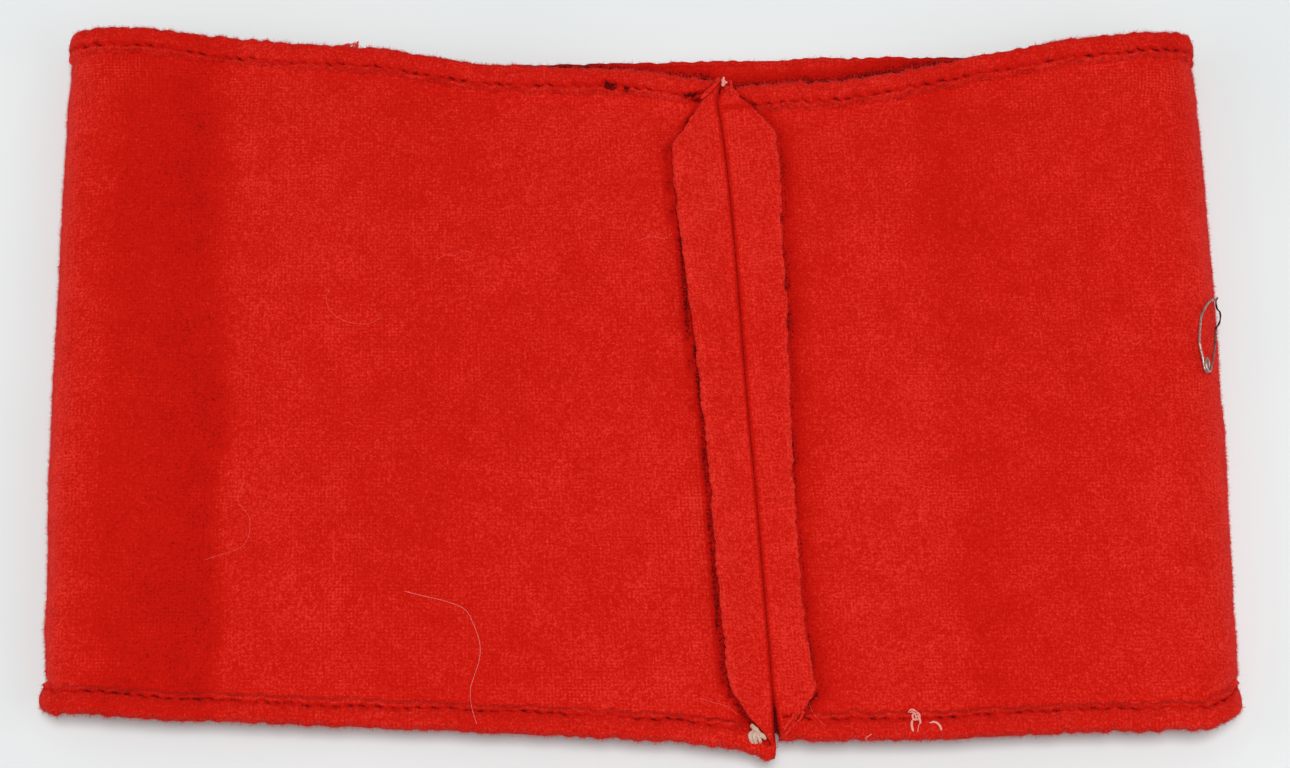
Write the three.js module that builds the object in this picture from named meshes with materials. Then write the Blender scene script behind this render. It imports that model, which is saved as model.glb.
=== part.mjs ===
// Armband of heavy wool cloth, sewn into a loop and lying flattened, with its seam allowances and hems outside.
// Millimetres, +Z up. It lies on Z = 0, its opening runs along Y and its long side along X.
import * as THREE from "three";

// Cloth
const PLY = 1.0; // thickness of one layer of cloth
const GAP = 0.3; // air kept between two pieces
const HEM_WIDTH = 4.7; // fold edge to raw edge of a turned hem
const FOLD_RADIUS = (2 * PLY + GAP) / 2; // half the doubled cloth at a fold edge
const PLY_END = FOLD_RADIUS + GAP; // fold edge to the end of the band's own layer
const ON_TOP = PLY / 2 + GAP; // middle of the band's layer to the underside of a layer laid on it

// How a hem draws the band's layer inwards
const TUCK_FULL = 5.5; // from the edge, the hem's whole draw is felt to here
const TUCK_NONE = 15; // and nothing of it from here

// Lean of the seam and of the two rolled sides, in X per unit of Y
const LEAN_SIDES = -0.014;
const LEAN_SEAM = -0.0715;
const LEAN_REACH = 78; // the seam's own lean fades out over this much cloth

// Fineness
const COLUMN_PITCH = 4.6; // along the loop on flat cloth
const COLUMN_PITCH_ROLL = 1.5; // along the loop round a rolled side
const BAND_ROWS = 13;

// The loop's middle line from the seam leftwards over the top, round the left roll, back along the floor, round the
// right roll and over the top to the seam. low and high are the Y of the two fold edges there, tuck is the draw of a hem.
const LOOP = [
  { x: 15.8, z: 7.95, low: -60.9, high: 50.2, tuck: 0.4 },
  { x: 10.0, z: 8.15, low: -59.9, high: 50.9, tuck: 0.4 },
  { x: -6.0, z: 8.2, low: -57.9, high: 52.6, tuck: 0.4 },
  { x: -22.0, z: 8.4, low: -57.0, high: 52.9, tuck: 0.4 },
  { x: -42.0, z: 8.9, low: -56.2, high: 55.2, tuck: 0.4 },
  { x: -60.0, z: 8.8, low: -55.5, high: 56.9, tuck: 0.4 },
  { x: -70.0, z: 8.6, low: -55.2, high: 57.8, tuck: 0.4 },
  { x: -78.5, z: 9.2, low: -54.8, high: 58.5, tuck: 0.5 },
  { x: -86.5, z: 9.5, low: -54.1, high: 58.9, tuck: 0.8 },
  { x: -91.8, z: 8.1, low: -53.2, high: 59.0, tuck: 1.1 },
  { x: -93.6, z: 5.0, low: -52.2, high: 58.9, tuck: 1.2 },
  { x: -91.2, z: 1.9, low: -52.0, high: 58.8, tuck: 1.3 },
  { x: -86.0, z: 0.5, low: -52.1, high: 58.6, tuck: 1.3 },
  { x: -56.0, z: 0.5, low: -53.6, high: 57.6, tuck: 1.3 },
  { x: -30.0, z: 0.5, low: -54.9, high: 55.8, tuck: 1.3 },
  { x: -12.0, z: 0.5, low: -55.5, high: 56.2, tuck: 1.3 },
  { x: 15.0, z: 0.5, low: -55.6, high: 56.5, tuck: 1.3 },
  { x: 54.0, z: 0.5, low: -55.4, high: 57.4, tuck: 1.3 },
  { x: 85.4, z: 0.5, low: -53.6, high: 58.4, tuck: 1.3 },
  { x: 90.5, z: 1.6, low: -52.4, high: 58.8, tuck: 1.3 },
  { x: 91.8, z: 3.9, low: -51.6, high: 59.0, tuck: 1.3 },
  { x: 90.8, z: 6.4, low: -52.2, high: 59.0, tuck: 1.2 },
  { x: 88.4, z: 8.3, low: -54.2, high: 58.7, tuck: 1.0 },
  { x: 84.4, z: 9.4, low: -56.2, high: 58.2, tuck: 0.7 },
  { x: 76.0, z: 9.0, low: -56.7, high: 57.8, tuck: 0.5 },
  { x: 66.5, z: 8.6, low: -56.8, high: 56.7, tuck: 0.4 },
  { x: 54.0, z: 8.2, low: -57.2, high: 53.9, tuck: 0.4 },
  { x: 43.0, z: 8.4, low: -57.8, high: 51.6, tuck: 0.4 },
  { x: 33.0, z: 8.4, low: -57.9, high: 50.0, tuck: 0.4 },
  { x: 22.0, z: 8.2, low: -58.0, high: 49.4, tuck: 0.4 },
  { x: 16.6, z: 7.95, low: -57.9, high: 49.0, tuck: 0.4 },
];

// Outer edges of the two seam allowances: across is measured from the seam line, y along the band.
const ALLOWANCE_LEFT = [
  { y: 48.4, across: 1.0 },
  { y: 47.1, across: 2.9 },
  { y: 42.9, across: 5.9 },
  { y: 38.6, across: 8.8 },
  { y: 36.6, across: 9.1 },
  { y: 33.5, across: 8.6 },
  { y: 21.9, across: 8.3 },
  { y: 5.0, across: 8.1 },
  { y: -11.0, across: 7.5 },
  { y: -30.0, across: 6.9 },
  { y: -47.6, across: 6.4 },
  { y: -51.4, across: 5.6 },
  { y: -54.9, across: 3.0 },
  { y: -58.6, across: 0.9 },
];
const ALLOWANCE_RIGHT = [
  { y: 48.0, across: 1.5 },
  { y: 46.5, across: 3.7 },
  { y: 43.5, across: 5.8 },
  { y: 41.6, across: 7.5 },
  { y: 38.6, across: 8.0 },
  { y: 21.9, across: 7.7 },
  { y: 5.0, across: 7.4 },
  { y: -11.0, across: 6.7 },
  { y: -33.0, across: 6.2 },
  { y: -46.0, across: 6.4 },
  { y: -50.0, across: 6.9 },
  { y: -51.6, across: 6.4 },
  { y: -53.6, across: 4.3 },
  { y: -56.4, across: 2.4 },
];
const CREASE = 0.35; // seam line to the inner edge of either allowance
const ALLOWANCE_LIFT = 0.35; // how far an allowance's cut edge stands off the band beyond GAP
const ALLOWANCE_STEPS = 5; // strips of facets across an allowance

// Where each hem stops short of the seam: near is the distance along the loop from the seam at the fold edge,
// far the same at the raw edge.
const TOP_HEM_ENDS = { left: { near: 0.3, far: 4.9 }, right: { near: 2.7, far: 6.0 } };
const BOTTOM_HEM_ENDS = { left: { near: 0.1, far: 6.0 }, right: { near: 2.1, far: 5.7 } };

// Safety pin of bent wire, leaning on the right roll in a plane that drops to the right. across is measured down that
// slope from the pin's centre, y along the band, off outwards from the plane.
const WIRE = 0.5;
const PIN_CENTRE = { x: 90.4, z: 8.05 };
const PIN_TILT = (50 * Math.PI) / 180;
const COIL_RADIUS = 0.95; // to the wire's middle
const COIL_AT = { across: -2.0, y: 1.75 };
const COIL_TURNS = 1.5;
const COIL_STEP = 0.62; // from one turn of the coil to the next
const PIN_HEAD_ARM = [
  { across: 1.9, y: 14.1, off: 0.1 },
  { across: 0.8, y: 13.2, off: 0.1 },
  { across: -0.1, y: 12.4, off: 0.05 },
  { across: -1.3, y: 11.2, off: 0.0 },
  { across: -2.3, y: 9.8, off: 0.0 },
  { across: -2.7, y: 7.7, off: 0.0 },
  { across: -3.2, y: 5.2, off: 0.0 },
  { across: -2.95, y: 3.4, off: 0.0 },
];
const PIN_POINT_ARM = [
  { across: -0.5, y: 3.4, off: 0.85 },
  { across: -0.1, y: 4.8, off: 0.75 },
  { across: 0.4, y: 5.8, off: 0.65 },
  { across: 0.8, y: 7.2, off: 0.55 },
  { across: 1.2, y: 8.7, off: 0.55 },
  { across: 2.1, y: 9.3, off: 0.5 },
  { across: 2.7, y: 10.6, off: 0.5 },
  { across: 2.6, y: 11.5, off: 0.55 },
  { across: 1.6, y: 12.0, off: 0.65 },
  { across: 1.3, y: 13.0, off: 0.75 },
];

// Colours
const WOOL = new THREE.MeshStandardMaterial({ color: 0xc8211a, roughness: 0.95 });
const STEEL = new THREE.MeshStandardMaterial({ color: 0x77706a, roughness: 0.5, metalness: 0.8 });

// 0 below a, 1 above b, eased between them
function ease(a, b, value) {
  const t = Math.min(1, Math.max(0, (value - a) / (b - a)));
  return t * t * (3 - 2 * t);
}

// Distance along the loop to each row of LOOP, from the seam
function loopDistances() {
  const at = [0];
  for (let i = 1; i <= LOOP.length; i += 1) {
    const a = LOOP[i - 1];
    const b = LOOP[i % LOOP.length];
    at.push(at[i - 1] + Math.hypot(b.x - a.x, b.z - a.z));
  }
  return at;
}
const AT = loopDistances();
const LOOP_LENGTH = AT[LOOP.length];
const SEAM_AT = (LOOP_LENGTH + AT[LOOP.length - 1]) / 2;

// Slope of one column at row i that never overshoots its neighbours
function rowSlope(column, i) {
  const n = LOOP.length;
  const row = (k) => LOOP[((k % n) + n) % n][column];
  const step = (k) => AT[(((k % n) + n) % n) + 1] - AT[((k % n) + n) % n];
  const before = (row(i) - row(i - 1)) / step(i - 1);
  const after = (row(i + 1) - row(i)) / step(i);
  if (before * after <= 0) return 0;
  return (2 * before * after) / (before + after);
}
const SLOPES = LOOP.map((_, i) => ({
  x: rowSlope("x", i),
  z: rowSlope("z", i),
  low: rowSlope("low", i),
  high: rowSlope("high", i),
  tuck: rowSlope("tuck", i),
}));

// All columns of LOOP at a distance along the loop
function loopAt(distance) {
  const d = ((distance % LOOP_LENGTH) + LOOP_LENGTH) % LOOP_LENGTH;
  let i = 0;
  while (AT[i + 1] < d) i += 1;
  const j = (i + 1) % LOOP.length;
  const span = AT[i + 1] - AT[i];
  const t = (d - AT[i]) / span;
  const blend = {};
  for (const column of ["x", "z", "low", "high", "tuck"]) {
    blend[column] =
      LOOP[i][column] * (1 + 2 * t) * (1 - t) ** 2 +
      LOOP[j][column] * t * t * (3 - 2 * t) +
      SLOPES[i][column] * span * t * (1 - t) ** 2 -
      SLOPES[j][column] * span * t * t * (1 - t);
  }
  return blend;
}

// Direction out of the loop at a distance along it
function outward(distance) {
  const a = loopAt(distance - 0.3);
  const b = loopAt(distance + 0.3);
  const length = Math.hypot(b.x - a.x, b.z - a.z);
  return { x: (b.z - a.z) / length, z: -(b.x - a.x) / length };
}

// A point of the cloth: distance along the loop, y along the band, out from the middle of the band's layer
function place(distance, y, out) {
  const at = loopAt(distance);
  const normal = outward(distance);
  const inside = Math.min(y - at.low, at.high - y);
  const offset = out - at.tuck * (1 - ease(TUCK_FULL, TUCK_NONE, inside));
  const fromSeam = Math.min(Math.abs(distance), Math.abs(LOOP_LENGTH - distance));
  const lean = LEAN_SIDES + (LEAN_SEAM - LEAN_SIDES) * (1 - ease(0, LEAN_REACH, fromSeam));
  return new THREE.Vector3(at.x + offset * normal.x + lean * y, y, at.z + offset * normal.z);
}

// Distances for the columns of facets, closer together round the rolls
function columnsBetween(from, to) {
  const columns = [from];
  let d = from;
  while (d < to - 1e-6) {
    const flat = [0, 0.5, 1].every((t) => Math.abs(outward(d + t * COLUMN_PITCH).z) > 0.985);
    d += flat ? COLUMN_PITCH : COLUMN_PITCH_ROLL;
    columns.push(Math.min(d, to));
  }
  const last = columns.length - 1;
  if (columns[last] - columns[last - 1] < 0.4) columns.splice(last - 1, 1);
  return columns;
}

// Closed solid through a row of like sections; flat holds one section in 2D for the end faces, or null for a ring
function loft(sections, flat) {
  const count = sections[0].length;
  const positions = [];
  for (const section of sections) {
    for (const p of section) positions.push(p.x, p.y, p.z);
  }
  const index = [];
  const spans = flat ? sections.length - 1 : sections.length;
  for (let i = 0; i < spans; i += 1) {
    const a = i * count;
    const b = ((i + 1) % sections.length) * count;
    for (let k = 0; k < count; k += 1) {
      const next = (k + 1) % count;
      index.push(a + k, b + k, b + next, a + k, b + next, a + next);
    }
  }
  if (flat) {
    const last = (sections.length - 1) * count;
    const faces = THREE.ShapeUtils.triangulateShape(flat, []);
    const turned = THREE.ShapeUtils.area(flat) * THREE.ShapeUtils.area(faces[0].map((k) => flat[k])) < 0;
    for (const face of faces) {
      const [p, q, r] = turned ? [...face].reverse() : face;
      index.push(p, q, r, last + p, last + r, last + q);
    }
  }
  return faceOut(positions, index);
}

// Geometry whose faces look outwards, whichever way round the sections ran
function faceOut(positions, index) {
  let volume = 0;
  const corner = (i) => new THREE.Vector3(positions[3 * i], positions[3 * i + 1], positions[3 * i + 2]);
  for (let i = 0; i < index.length; i += 3) {
    volume += corner(index[i]).dot(corner(index[i + 1]).cross(corner(index[i + 2])));
  }
  if (volume < 0) index.reverse();
  const geometry = new THREE.BufferGeometry();
  geometry.setAttribute("position", new THREE.Float32BufferAttribute(positions, 3));
  geometry.setIndex(index);
  geometry.computeVertexNormals();
  return geometry;
}

// The band: one hollow loop of cloth between the two fold edges
function bandGeometry() {
  const sections = columnsBetween(0, AT[LOOP.length - 1]).map((distance) => {
    const { low, high } = loopAt(distance);
    const outer = [];
    const inner = [];
    for (let row = 0; row < BAND_ROWS; row += 1) {
      const t = row / (BAND_ROWS - 1);
      const spread = t - 0.055 * Math.sin(4 * Math.PI * t);
      const y = low + PLY_END + (high - low - 2 * PLY_END) * spread;
      outer.push(place(distance, y, PLY / 2));
      inner.unshift(place(distance, y, -PLY / 2));
    }
    return outer.concat(inner);
  });
  return loft(sections, null);
}

// Section of a turned hem: from is the distance from the fold edge, out from the middle of the band's layer
function hemProfile() {
  const middle = FOLD_RADIUS - PLY / 2;
  const face = ON_TOP + PLY;
  const profile = [];
  for (let k = 0; k <= 6; k += 1) {
    const angle = (Math.PI * k) / 6;
    profile.push({
      from: FOLD_RADIUS * (1 - Math.sin(angle)),
      out: middle - FOLD_RADIUS * Math.cos(angle),
    });
  }
  profile.push({ from: HEM_WIDTH - 0.4, out: face });
  profile.push({ from: HEM_WIDTH, out: face - 0.4 });
  profile.push({ from: HEM_WIDTH, out: ON_TOP });
  profile.push({ from: FOLD_RADIUS, out: ON_TOP });
  return profile;
}

// A hem swept round the loop from one side of the seam to the other; side is +1 for the top edge, -1 for the bottom
function hemGeometry(side, ends) {
  const profile = hemProfile();
  const reach = 14; // cloth over which the slant of a cut end is taken up
  const from = ends.left.near;
  const to = LOOP_LENGTH - ends.right.near;
  const sections = columnsBetween(from, to).map((distance) =>
    profile.map((point) => {
      const share = point.from / HEM_WIDTH;
      const left = (ends.left.far - ends.left.near) * share * (1 - ease(0, reach, distance - from));
      const right = (ends.right.far - ends.right.near) * share * (1 - ease(0, reach, to - distance));
      const d = distance + left - right;
      const { low, high } = loopAt(d);
      return place(d, side > 0 ? high - point.from : low + point.from, point.out);
    }),
  );
  return loft(
    sections,
    profile.map((point) => new THREE.Vector2(point.from, point.out)),
  );
}

// Rows of an outline table with more rows put between them, no further apart than pitch
function refined(rows, pitch) {
  const out = [rows[0]];
  for (let i = 1; i < rows.length; i += 1) {
    const a = rows[i - 1];
    const b = rows[i];
    const parts = Math.ceil(Math.abs(b.y - a.y) / pitch);
    for (let k = 1; k <= parts; k += 1) {
      const t = k / parts;
      out.push({ y: a.y + (b.y - a.y) * t, across: a.across + (b.across - a.across) * t });
    }
  }
  return out;
}

// A seam allowance pressed open on the band; side is +1 for the left one, -1 for the right one
function allowanceGeometry(rows, side) {
  const sections = refined(rows, 6).map(({ y, across }) => {
    const lower = [];
    const upper = [];
    for (let k = 0; k <= ALLOWANCE_STEPS; k += 1) {
      const t = k / ALLOWANCE_STEPS;
      const from = CREASE + (across - CREASE) * t;
      const lift = ON_TOP + ALLOWANCE_LIFT * ease(0.3, 8, from);
      const d = (SEAM_AT + side * from) % LOOP_LENGTH;
      lower.push(place(d, y, lift));
      upper.unshift(place(d, y, lift + PLY));
    }
    return lower.concat(upper);
  });
  const count = ALLOWANCE_STEPS + 1;
  const flat = sections[0].map((_, k) =>
    k < count ? new THREE.Vector2(k, 0) : new THREE.Vector2(2 * count - 1 - k, 1),
  );
  return loft(sections, flat);
}

// Round wire with closed ends along a smooth path
function wireGeometry(points, diameter, steps, sides) {
  const curve = new THREE.CatmullRomCurve3(points, false, "centripetal");
  const frames = curve.computeFrenetFrames(steps, false);
  const sections = [];
  for (let i = 0; i <= steps; i += 1) {
    const centre = curve.getPointAt(i / steps);
    const ring = [];
    for (let k = 0; k < sides; k += 1) {
      const angle = (2 * Math.PI * k) / sides;
      ring.push(
        centre
          .clone()
          .addScaledVector(frames.normals[i], (Math.cos(angle) * diameter) / 2)
          .addScaledVector(frames.binormals[i], (Math.sin(angle) * diameter) / 2),
      );
    }
    sections.push(ring);
  }
  const flat = sections[0].map((_, k) => {
    const angle = (2 * Math.PI * k) / sides;
    return new THREE.Vector2(Math.cos(angle), Math.sin(angle));
  });
  return loft(sections, flat);
}

// The safety pin: head, arm, coil and the other arm, all in one wire
function pinGeometry() {
  const spot = ({ across, y, off }) =>
    new THREE.Vector3(
      PIN_CENTRE.x + across * Math.cos(PIN_TILT) + off * Math.sin(PIN_TILT),
      y,
      PIN_CENTRE.z - across * Math.sin(PIN_TILT) + off * Math.cos(PIN_TILT),
    );
  const coil = [];
  const eighths = Math.round(COIL_TURNS * 8);
  for (let k = 0; k <= eighths; k += 1) {
    const angle = (Math.PI * k) / 4;
    coil.push(
      spot({
        across: COIL_AT.across - COIL_RADIUS * Math.cos(angle),
        y: COIL_AT.y - COIL_RADIUS * Math.sin(angle),
        off: (COIL_STEP * k) / 8,
      }),
    );
  }
  const path = [...PIN_HEAD_ARM.map(spot), ...coil, ...PIN_POINT_ARM.map(spot)];
  return wireGeometry(path, WIRE, 66, 8);
}

function piece(name, geometry, material) {
  const mesh = new THREE.Mesh(geometry, material);
  mesh.name = name;
  return mesh;
}

const group = new THREE.Group();
group.name = "armband";
group.add(
  piece("band", bandGeometry(), WOOL),
  piece("top_hem", hemGeometry(1, TOP_HEM_ENDS), WOOL),
  piece("bottom_hem", hemGeometry(-1, BOTTOM_HEM_ENDS), WOOL),
  piece("seam_allowance_left", allowanceGeometry(ALLOWANCE_LEFT, 1), WOOL),
  piece("seam_allowance_right", allowanceGeometry(ALLOWANCE_RIGHT, -1), WOOL),
  piece("safety_pin", pinGeometry(), STEEL),
);

export default group;
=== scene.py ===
"""Looks of a red wool armband lying flattened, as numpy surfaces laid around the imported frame.

The tables and formulas work in millimetres, and every mesh is scaled to metres when it is made.
"""

import bpy
import numpy as np
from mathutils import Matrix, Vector


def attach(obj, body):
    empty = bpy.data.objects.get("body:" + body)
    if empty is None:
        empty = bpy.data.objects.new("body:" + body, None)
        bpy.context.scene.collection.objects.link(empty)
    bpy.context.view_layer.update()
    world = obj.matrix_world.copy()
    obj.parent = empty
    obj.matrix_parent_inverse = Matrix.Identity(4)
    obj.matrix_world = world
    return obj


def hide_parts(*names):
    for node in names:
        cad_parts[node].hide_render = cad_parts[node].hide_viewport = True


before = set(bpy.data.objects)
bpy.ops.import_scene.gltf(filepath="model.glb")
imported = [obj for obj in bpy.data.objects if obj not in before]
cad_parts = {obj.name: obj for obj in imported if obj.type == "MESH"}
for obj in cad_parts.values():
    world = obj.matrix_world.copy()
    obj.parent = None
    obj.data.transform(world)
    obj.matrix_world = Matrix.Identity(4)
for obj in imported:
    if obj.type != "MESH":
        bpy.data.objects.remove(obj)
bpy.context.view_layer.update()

MM = 0.001

# Cloth
PLY = 1.0  # one layer of the band
HEM_FACE = 1.80  # middle of the band to the hem's outer face, before its stitching presses it down
STRIP_PLY = 0.9  # a seam allowance
FOLD_CENTRE = 1.15  # fold edge to the centre of the turn
TURN_RADIUS = 0.65  # middle line of the cloth in the turn
ARC = np.pi * TURN_RADIUS  # its length
HEM_WIDTH = 4.55  # fold edge to raw edge
STITCH_FROM = 3.35  # fold edge to the row of stitches
STITCH_PITCH = 2.1
WEFT_PITCH = 0.57
WARP_PITCH = 0.55
STITCH_HEIGHT = 1.11  # middle of the band to the middle of a stitch
BAND_END = 1.05  # fold edge to the end of the band's own layer
TUCK_FULL = 5.5  # distance from a fold edge up to which a hem draws the loop in whole
TUCK_NONE = 15.0  # and from which it doesn't
LEAN_SIDES = -0.014  # step to the right for each step up, at the two rolled sides
LEAN_SEAM = -0.0715  # and at the seam
LEAN_REACH = 78.0  # from the seam to where the sides' lean is reached
SEAM_LOW = -56.2  # the band's two cut ends at the seam: lower corners, the notch between them, upper end
SEAM_NOTCH = -55.8
SEAM_HIGH = 47.2
FRONT_ROW = 52.0  # y near the upper layer's far edge
WORN_ROW = 48.6  # y of the worn holes in the far hem
FLOOR_CLEAR = 0.02  # least height of a piece
HAIR_CLEAR = 0.03  # least height of a hair

# Stretches of the loop, as distances along it: begins, is whole, starts to end, has ended
LEFT_SIDE = (86, 101, 119, 134)
RIGHT_SIDE = (274, 290, 313, 326)
LEFT_TURN = (95, 101, 122, 128)
RIGHT_TURN = (286, 291, 311, 317)
UNDERSIDE = (118, 124, 284, 290)

ROLL_MIDDLES = (111.0, 301.2)  # where the two sides bend most
LOWER_START = 112  # stretch of the hems' hairs that lie on the lower layer
LOWER_STOP = 298

# Middle line of the loop from the seam leftwards over the top and back round to the seam: x, z, the y of
# the lower and upper fold edge, and the draw of a hem.
LOOP = np.array(
    [
        (15.8, 7.95, -60.9, 50.2, 0.4),
        (10.0, 8.15, -59.9, 50.9, 0.4),
        (-6.0, 8.2, -57.9, 52.6, 0.4),
        (-22.0, 8.4, -57.0, 52.9, 0.4),
        (-42.0, 8.9, -56.2, 55.2, 0.4),
        (-60.0, 8.8, -55.5, 56.9, 0.4),
        (-70.0, 8.6, -55.2, 57.8, 0.4),
        (-78.5, 9.2, -54.8, 58.5, 0.5),
        (-86.5, 9.5, -54.1, 58.9, 0.8),
        (-91.8, 8.1, -53.2, 59.0, 1.1),
        (-93.6, 5.0, -52.2, 58.9, 1.2),
        (-91.2, 1.9, -52.0, 58.8, 1.3),
        (-86.0, 0.5, -52.1, 58.6, 1.3),
        (-56.0, 0.5, -53.6, 57.6, 1.3),
        (-30.0, 0.5, -54.9, 55.8, 1.3),
        (-12.0, 0.5, -55.5, 56.2, 1.3),
        (15.0, 0.5, -55.6, 56.5, 1.3),
        (54.0, 0.5, -55.4, 57.4, 1.3),
        (85.4, 0.5, -53.6, 58.4, 1.3),
        (90.5, 1.6, -52.4, 58.8, 1.3),
        (91.8, 3.9, -51.6, 59.0, 1.3),
        (90.8, 6.4, -52.2, 59.0, 1.2),
        (88.4, 8.3, -54.2, 58.7, 1.0),
        (84.4, 9.4, -56.2, 58.2, 0.7),
        (76.0, 9.0, -56.7, 57.8, 0.5),
        (66.5, 8.6, -56.8, 56.7, 0.4),
        (54.0, 8.2, -57.2, 53.9, 0.4),
        (43.0, 8.4, -57.8, 51.6, 0.4),
        (33.0, 8.4, -57.9, 50.0, 0.4),
        (22.0, 8.2, -58.0, 49.4, 0.4),
        (16.6, 7.95, -57.9, 49.0, 0.4),
    ]
)

# Cut edge of each seam allowance: y, distance from the seam
LEFT_STRIP = np.array([
    (49.9, 0.7), (48.9, 1.0), (46.4, 2.5), (45.1, 3.5), (43.7, 4.65), (42.3, 5.7), (40.9, 6.65),
    (39.5, 7.85), (38.1, 8.65), (35.0, 8.8), (32.6, 8.7), (27.9, 8.65), (23.1, 8.55), (18.4, 8.25),
    (13.7, 7.95), (9.0, 7.7), (4.4, 7.45), (-0.3, 7.3), (-4.9, 7.1), (-9.4, 7.1), (-14.0, 6.95),
    (-18.5, 6.9), (-23.0, 7.0), (-27.5, 7.0), (-32.0, 7.0), (-36.4, 6.85), (-40.8, 6.75),
    (-45.2, 6.7), (-49.0, 6.5), (-51.0, 6.05), (-53.9, 4.0), (-57.2, 1.65), (-58.4, 0.9),
    (-59.2, 0.55),
])  # fmt: skip
RIGHT_STRIP = np.array([
    (49.4, 1.6), (48.6, 2.5), (48.1, 3.2), (46.8, 4.05), (45.8, 5.2), (44.7, 6.0), (43.7, 6.75),
    (42.6, 7.8), (41.5, 8.45), (39.5, 8.4), (37.1, 8.35), (34.7, 8.35), (29.9, 8.05), (25.1, 7.6),
    (20.4, 7.5), (15.7, 7.55), (11.0, 7.5), (6.4, 7.1), (1.7, 6.95), (-2.9, 6.8), (-7.5, 6.5),
    (-12.0, 6.3), (-16.6, 6.0), (-21.1, 6.0), (-25.6, 5.85), (-30.0, 5.8), (-34.5, 5.6),
    (-38.9, 5.75), (-43.3, 6.05), (-47.7, 6.45), (-49.8, 6.7), (-51.6, 6.2), (-53.4, 4.5),
    (-55.2, 3.1), (-56.8, 2.3), (-58.0, 2.05),
])  # fmt: skip

# How far each allowance's cut edge stands off the band: y, height
LEFT_LIFT = np.array([
    (50, 0.3), (44, 1.1), (38, 1.6), (30, 1.4), (10, 1.25), (-8, 1.3), (-25, 1.4), (-48, 1.5),
    (-53, 1.3), (-59, 0.6),
])  # fmt: skip
RIGHT_LIFT = np.array([
    (50, 0.25), (42, 0.6), (28, 0.8), (0, 0.95), (-30, 1.0), (-44, 1.1), (-50, 1.0), (-55, 0.5),
    (-58, 0.2),
])  # fmt: skip

# Sideways wander of the seam line off its straight lean: y, shift
SEAM_WANDER = np.array([
    (-60, 0.1), (-16.6, 0.08), (-3.6, -0.04), (23.0, 0.05), (33.3, -0.05), (36.8, -0.14),
    (40.2, -0.31), (43.7, -0.53), (46.9, -0.84), (48.8, -0.15), (50.0, 0.1),
])  # fmt: skip

# Small corrections of the fold edges, the upper layer's far and near edge and the lower layer's far edge:
# x, step up
FAR_TRIM = np.array([
    (-94, 0.5), (-88, 0.5), (-72, 0.4), (-56, 0.15), (-48.6, 0.45), (-47.5, 0.75), (-46.4, 0.45),
    (-39, 0.55), (-23, 0.25), (-8, 0.0), (6, 0.5), (14, 0.1), (20, 0.0), (28, 0.45), (36, 0.0),
    (56, 0.0), (66, -0.3), (74, 0.05), (82, 0.4), (94, 0.2),
])  # fmt: skip
NEAR_TRIM = np.array([
    (-94, -0.9), (-92, -0.7), (-90, -0.3), (-87, 0.1), (-10, 0.0), (3, 0.4), (11, 0.4), (15, 0.0),
    (33, -0.2), (50, 0.0), (80, 0.0), (85, -0.3), (88, -0.7), (90, -1.1), (94, -1.6),
])  # fmt: skip
LOWER_TRIM = np.array([(-90, 0.0), (-10, 0.1), (9, 0.25), (33, 0.55), (50, 0.25), (60, 0.0), (94, 0.0)])

# Sideways corrections of the two rolled sides: y, shift to the right
LEFT_ROLL = np.array([
    (-53, -0.1), (-50.5, 0.05), (-49.2, 0.1), (-48.0, 0.0), (-47.2, -0.35), (-44.2, -0.4),
    (-41.5, -0.1), (-38.5, 0.3), (-35, 0.3), (-30, 0.05), (22, 0.0), (27.6, 0.15), (38, 0.45),
    (44.6, 0.7), (46.7, 0.35), (48.8, 0.1), (52, -0.2), (54.1, -0.4), (55.2, 0.0), (57.3, 0.3),
    (59.4, 0.6),
])  # fmt: skip
RIGHT_ROLL = np.array([
    (-53, 0.5), (-51.7, -0.1), (-50, -0.5), (-48.2, -0.45), (-47.4, 0.1), (-46, 0.2), (-43, -0.3),
    (-39.5, -0.8), (-37.5, -0.85), (-33, -0.4), (-25, -0.2), (-13, 0.1), (-7, 0.25), (-3, 0.0),
    (17, 0.0), (27.6, -0.3), (38, -0.5), (46.5, -0.6), (48.8, 0.0), (52.5, 0.25), (54.1, 0.0),
    (57.3, -0.6), (59.4, -0.35),
])  # fmt: skip

# Where each hem stops short of the seam: at the fold edge and at the raw edge, and between which
# distances from the fold edge its end slants from one to the other
TOP_ENDS = {"left": (0.3, 4.9, 0.0, 4.7), "right": (2.7, 6.0, 0.0, 4.7)}
BOTTOM_ENDS = {"left": (-0.4, 5.4, 1.5, 3.6), "right": (1.9, 5.7, 0.0, 4.7)}
END_REACH = 14.0  # length of hem that takes up the slant

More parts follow.
